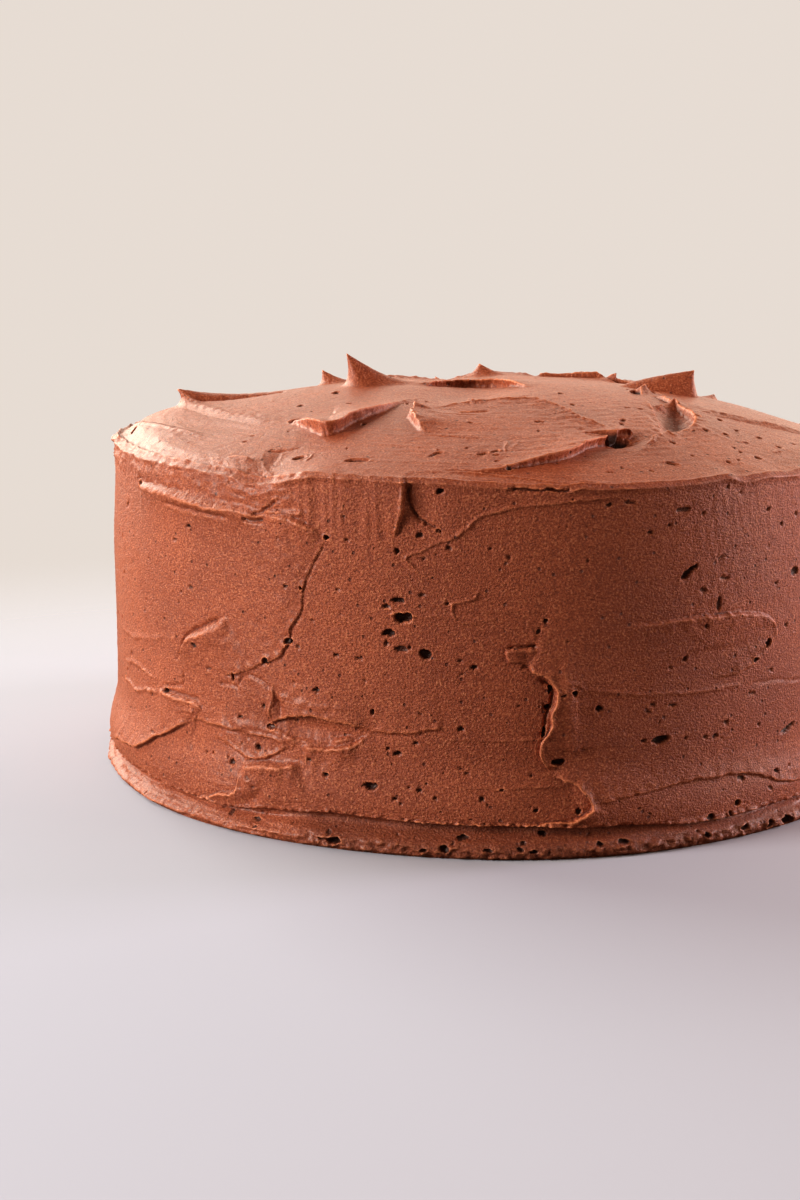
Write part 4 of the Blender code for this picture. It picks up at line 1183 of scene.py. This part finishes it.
def share_between(tree, place, value, low, high):
    """0 where a value is at low and 1 at high, smooth between."""
    feeds = {"Value": value, "From Min": low, "From Max": high}
    return node(tree, "ShaderNodeMapRange", place, feeds, interpolation_type="SMOOTHSTEP").outputs["Result"]


def mixed(tree, place, share, first, second):
    """One colour, turned towards another by a share."""
    feeds = {"Factor": share, "A": first, "B": second}
    return node(tree, "ShaderNodeMix", place, feeds, data_type="RGBA").outputs["Result"]


def grain_group():
    """Fine grain, level knife streaks and specks of air in whipped frosting: a height for the bump, the
    grain alone, and a mask of specks."""
    tree = bpy.data.node_groups.new("frosting grain", "ShaderNodeTree")
    for name, value, low, high in (("Grain Size", 0.0006, 0.0001, 0.01), ("Streaks", 0.3, 0.0, 2.0),
                                   ("Speck Spacing", 0.004, 0.001, 0.05)):
        given = tree.interface.new_socket(name=name, in_out="INPUT", socket_type="NodeSocketFloat")
        given.default_value, given.min_value, given.max_value = value, low, high
    for name in ("Height", "Grain", "Specks"):
        tree.interface.new_socket(name=name, in_out="OUTPUT", socket_type="NodeSocketFloat")
    inputs = node(tree, "NodeGroupInput", (-1000, 0)).outputs
    coords = node(tree, "ShaderNodeTexCoord", (-1000, 300)).outputs["Object"]
    grain_scale = node(tree, "ShaderNodeMath", (-760, 120), {0: 1.0, 1: inputs["Grain Size"]},
                       operation="DIVIDE").outputs[0]
    speck_scale = node(tree, "ShaderNodeMath", (-760, -140), {0: 1.0, 1: inputs["Speck Spacing"]},
                       operation="DIVIDE").outputs[0]
    grain = node(tree, "ShaderNodeTexNoise", (-520, 240),
                 {"Vector": coords, "Scale": grain_scale, "Detail": 3.0, "Roughness": 0.65}).outputs["Fac"]
    flat = node(tree, "ShaderNodeMapping", (-760, 460), {"Vector": coords, "Scale": STREAK_STRETCH})
    streak = node(tree, "ShaderNodeTexNoise", (-520, 520),
                  {"Vector": flat.outputs["Vector"], "Scale": grain_scale, "Detail": 1.5})
    streaked = node(tree, "ShaderNodeMath", (-200, 420),
                    {0: streak.outputs["Fac"], 1: inputs["Streaks"], 2: grain}, operation="MULTIPLY_ADD")
    specks = node(tree, "ShaderNodeTexVoronoi", (-520, -120), {"Vector": coords, "Scale": speck_scale})
    speck_mask = share_between(tree, (-260, -120), specks.outputs["Distance"], *SPECK_EDGE)
    height = node(tree, "ShaderNodeMath", (200, 60),
                  {0: speck_mask, 1: SPECK_DROP, 2: streaked.outputs[0]}, operation="MULTIPLY_ADD")
    node(tree, "NodeGroupOutput", (900, 0),
         {"Height": height.outputs[0], "Grain": grain, "Specks": speck_mask})
    return tree


def frosting(name, grain_depth, streaks, roughness, gloss_coat):
    """Milk-chocolate buttercream: satin over a thin buttery gloss, mottled and grainy, with painted glints
    and painted shade on its grain, painted light on its thin crests, and painted shade in its hollows,
    specks, bubbles, slits and foot."""
    material = bpy.data.materials.new(name)
    material.use_nodes = True
    tree = material.node_tree
    coords = node(tree, "ShaderNodeTexCoord", (-1200, 0)).outputs["Object"]
    mottle = node(tree, "ShaderNodeTexNoise", (-960, 0),
                  {"Vector": coords, "Scale": MOTTLE_SCALE, "Detail": 4.0}).outputs["Fac"]
    body = node(tree, "ShaderNodeValToRGB", (-700, 0), {"Fac": mottle})
    dark, light = body.color_ramp.elements
    dark.position, dark.color = 0.3, FROSTING_DARK
    light.position, light.color = 0.7, FROSTING_LIGHT
    grain = node(tree, "ShaderNodeGroup", (-960, -420), node_tree=grain_nodes)
    feed(grain, {"Grain Size": GRAIN_SIZE, "Streaks": streaks, "Speck Spacing": SPECK_SPACING})
    crest, painted_shade = (node(tree, "ShaderNodeAttribute", (-700, rise), attribute_name=mark).outputs["Fac"]
                   for mark, rise in (("crest", 240), ("painted_shade", 480)))
    colour = body.outputs["Color"]
    # painted shade in the grain's dips, painted glints on its tops, painted light on crests, painted shade
    # in hollows, then painted shade in bubbles, slits and at the foot
    for i, (value, low, high, towards) in enumerate((
            (grain.outputs["Grain"], 0.56, 0.34, FROSTING_PAINTED_GRAIN_SHADE),
            (grain.outputs["Grain"], 0.54, 0.67, FROSTING_PAINTED_GLINT),
            (crest, 0.54, 0.80, FROSTING_PAINTED_CREST_LIGHT),
            (crest, 0.44, 0.16, FROSTING_PAINTED_HOLLOW_SHADE),
            (painted_shade, 0.2, 0.95, FROSTING_PAINTED_DEEP_SHADE))):
        share = share_between(tree, (260 * i - 440, 240), value, low, high)
        colour = mixed(tree, (260 * i - 440, 0), share, colour, towards)
    gloss = node(tree, "ShaderNodeMapRange", (-380, -240),
                 {"Value": mottle, "To Min": roughness[0], "To Max": roughness[1]})
    bump = node(tree, "ShaderNodeBump", (400, -420),
                {"Strength": 1.0, "Distance": grain_depth, "Height": grain.outputs["Height"]})
    shader = tree.nodes["Principled BSDF"]
    shader.location = (1120, 0)
    feed(shader, {
        # specks of air get the painted hollow shade
        "Base Color": mixed(tree, (860, 0), grain.outputs["Specks"], colour, FROSTING_PAINTED_HOLLOW_SHADE),
        "Roughness": gloss.outputs["Result"], "Normal": bump.outputs["Normal"], "IOR": FROSTING_IOR,
        "Coat Weight": gloss_coat, "Coat Roughness": GLOSS_ROUGHNESS, "Coat IOR": GLOSS_IOR})
    return material


grain_nodes = grain_group()
side_frosting = frosting("side frosting", 0.00045, 0.5, (0.50, 0.62), 0.25)
top_frosting = frosting("top frosting", 0.00026, 0.0, (0.42, 0.52), 0.12)

cake = plain_cake()
cut_finer(cake)
flat_middles = polygon_middles(cake.data)
work_coat(cake)
cake.data.shade_smooth()
mark_crests(cake.data)
for piece in cut_into_parts(cake, flat_middles):
    piece.data.materials.clear()
    piece.data.materials.append(top_frosting if "top" in piece.name else side_frosting)
    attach(piece, "root")
    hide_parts("cake")
    print(piece.name, sum(len(p.vertices) - 2 for p in piece.data.polygons), "triangles")


# The studio

# The floor: its colour to the camera and to the light, its size, the middle of its solid part, and how
# far from there it is clear and still solid
FLOOR_SEEN = (0.47, 0.466, 0.54, 1.0)
FLOOR_BOUNCE = (0.14, 0.12, 0.11, 1.0)
FLOOR_RADIUS, FLOOR_MIDDLE, FLOOR_FADE = 1.1, (0.1, -0.25, 0.0), (0.66, 0.34)

# The backdrop, the fill light that the cake gets from it, and the place that all lights face
BACKDROP = (0.815, 0.740, 0.680, 1.0)
FILL, FILL_STRENGTH = (1.0, 0.80, 0.62, 1.0), 0.22
PHOTO_GAMMA = 0.9
LIGHTS_FACE = Vector((0.0, 0.0, 0.05))


def pale_floor():
    """A pale round of floor that fades into the plain backdrop, and throws little light on the cake."""
    bpy.ops.object.select_all(action="DESELECT")
    bpy.ops.mesh.primitive_circle_add(vertices=96, radius=FLOOR_RADIUS, fill_type="NGON",
                                      location=(0, 0, 0))
    floor = bpy.context.object
    floor.name = "floor"
    material = bpy.data.materials.new("pale floor")
    material.use_nodes = True
    tree = material.node_tree
    seen = node(tree, "ShaderNodeLightPath", (-800, 300)).outputs["Is Camera Ray"]
    coords = node(tree, "ShaderNodeTexCoord", (-800, 0)).outputs["Object"]
    away = node(tree, "ShaderNodeVectorMath", (-600, 0), {0: coords, 1: FLOOR_MIDDLE},
                operation="DISTANCE").outputs["Value"]
    feed(tree.nodes["Principled BSDF"], {
        "Base Color": mixed(tree, (-400, 300), seen, FLOOR_BOUNCE, FLOOR_SEEN),
        "Alpha": share_between(tree, (-400, 0), away, *FLOOR_FADE),
        "Roughness": 1.0, "Specular IOR Level": 0.0})
    floor.data.materials.append(material)


def soft_box(name, azimuth, rise, away, size, power, colour):
    """A soft light that faces the cake and doesn't show itself, by the degrees round from the front."""
    light = bpy.data.lights.new(name, "AREA")
    light.shape = "RECTANGLE"
    light.size, light.size_y = size
    light.energy = power
    light.color = colour
    box = bpy.data.objects.new(name, light)
    bpy.context.scene.collection.objects.link(box)
    turn, rise = math.radians(azimuth), math.radians(rise)
    towards = Vector((math.sin(turn) * math.cos(rise), -math.cos(turn) * math.cos(rise), math.sin(rise)))
    box.location = LIGHTS_FACE + away * towards
    box.rotation_euler = (-towards).to_track_quat("-Z", "Y").to_euler()
    box.visible_camera = False


def studio():
    """A plain backdrop that the camera sees, a dimmer warm fill for the cake, and the soft boxes."""
    scene = bpy.context.scene
    scene.view_settings.view_transform = "Standard"
    scene.view_settings.gamma = PHOTO_GAMMA
    world = bpy.data.worlds.new("studio")
    world.use_nodes = True
    scene.world = world
    tree = world.node_tree
    backdrop = tree.nodes["Background"]
    feed(backdrop, {"Color": BACKDROP, "Strength": 1.0})
    fill = node(tree, "ShaderNodeBackground", (0, -200), {"Color": FILL, "Strength": FILL_STRENGTH})
    path = node(tree, "ShaderNodeLightPath", (-200, 200))
    mix = node(tree, "ShaderNodeMixShader", (200, 0), {
        0: path.outputs["Is Camera Ray"], 1: fill.outputs["Background"], 2: backdrop.outputs["Background"]})
    feed(tree.nodes["World Output"], {"Surface": mix.outputs["Shader"]})
    soft_box("window", -66, 16, 1.3, (0.4, 0.6), 25.0, (1.0, 0.97, 0.90))
    soft_box("window_behind", -130, 28, 1.2, (0.9, 0.8), 21.5, (0.96, 1.0, 0.88))
    soft_box("bright_wall", 180, 16, 1.4, (2.2, 0.9), 11.5, (1.0, 0.84, 0.68))
    soft_box("right_edge", 106, 14, 1.3, (0.4, 0.6), 14.5, (1.0, 0.87, 0.94))
    soft_box("right_side", 80, 15, 1.1, (0.5, 0.8), 6.0, (1.0, 0.80, 0.62))
    soft_box("right_behind", 140, 20, 1.2, (0.9, 0.8), 4.0, (1.0, 0.78, 0.58))


def camera():
    lens = bpy.data.cameras.new("camera")
    lens.lens = 62.07
    lens.sensor_width = 36.0
    lens.sensor_fit = "AUTO"
    viewer = bpy.data.objects.new("camera", lens)
    bpy.context.scene.collection.objects.link(viewer)
    viewer.location = (0.0, -0.6179, 0.1643)
    viewer.rotation_euler = (math.radians(90.0 - 10.9546), 0.0, math.radians(2.4043))
    bpy.context.scene.camera = viewer


pale_floor()
studio()
camera()

bpy.context.view_layer.update()
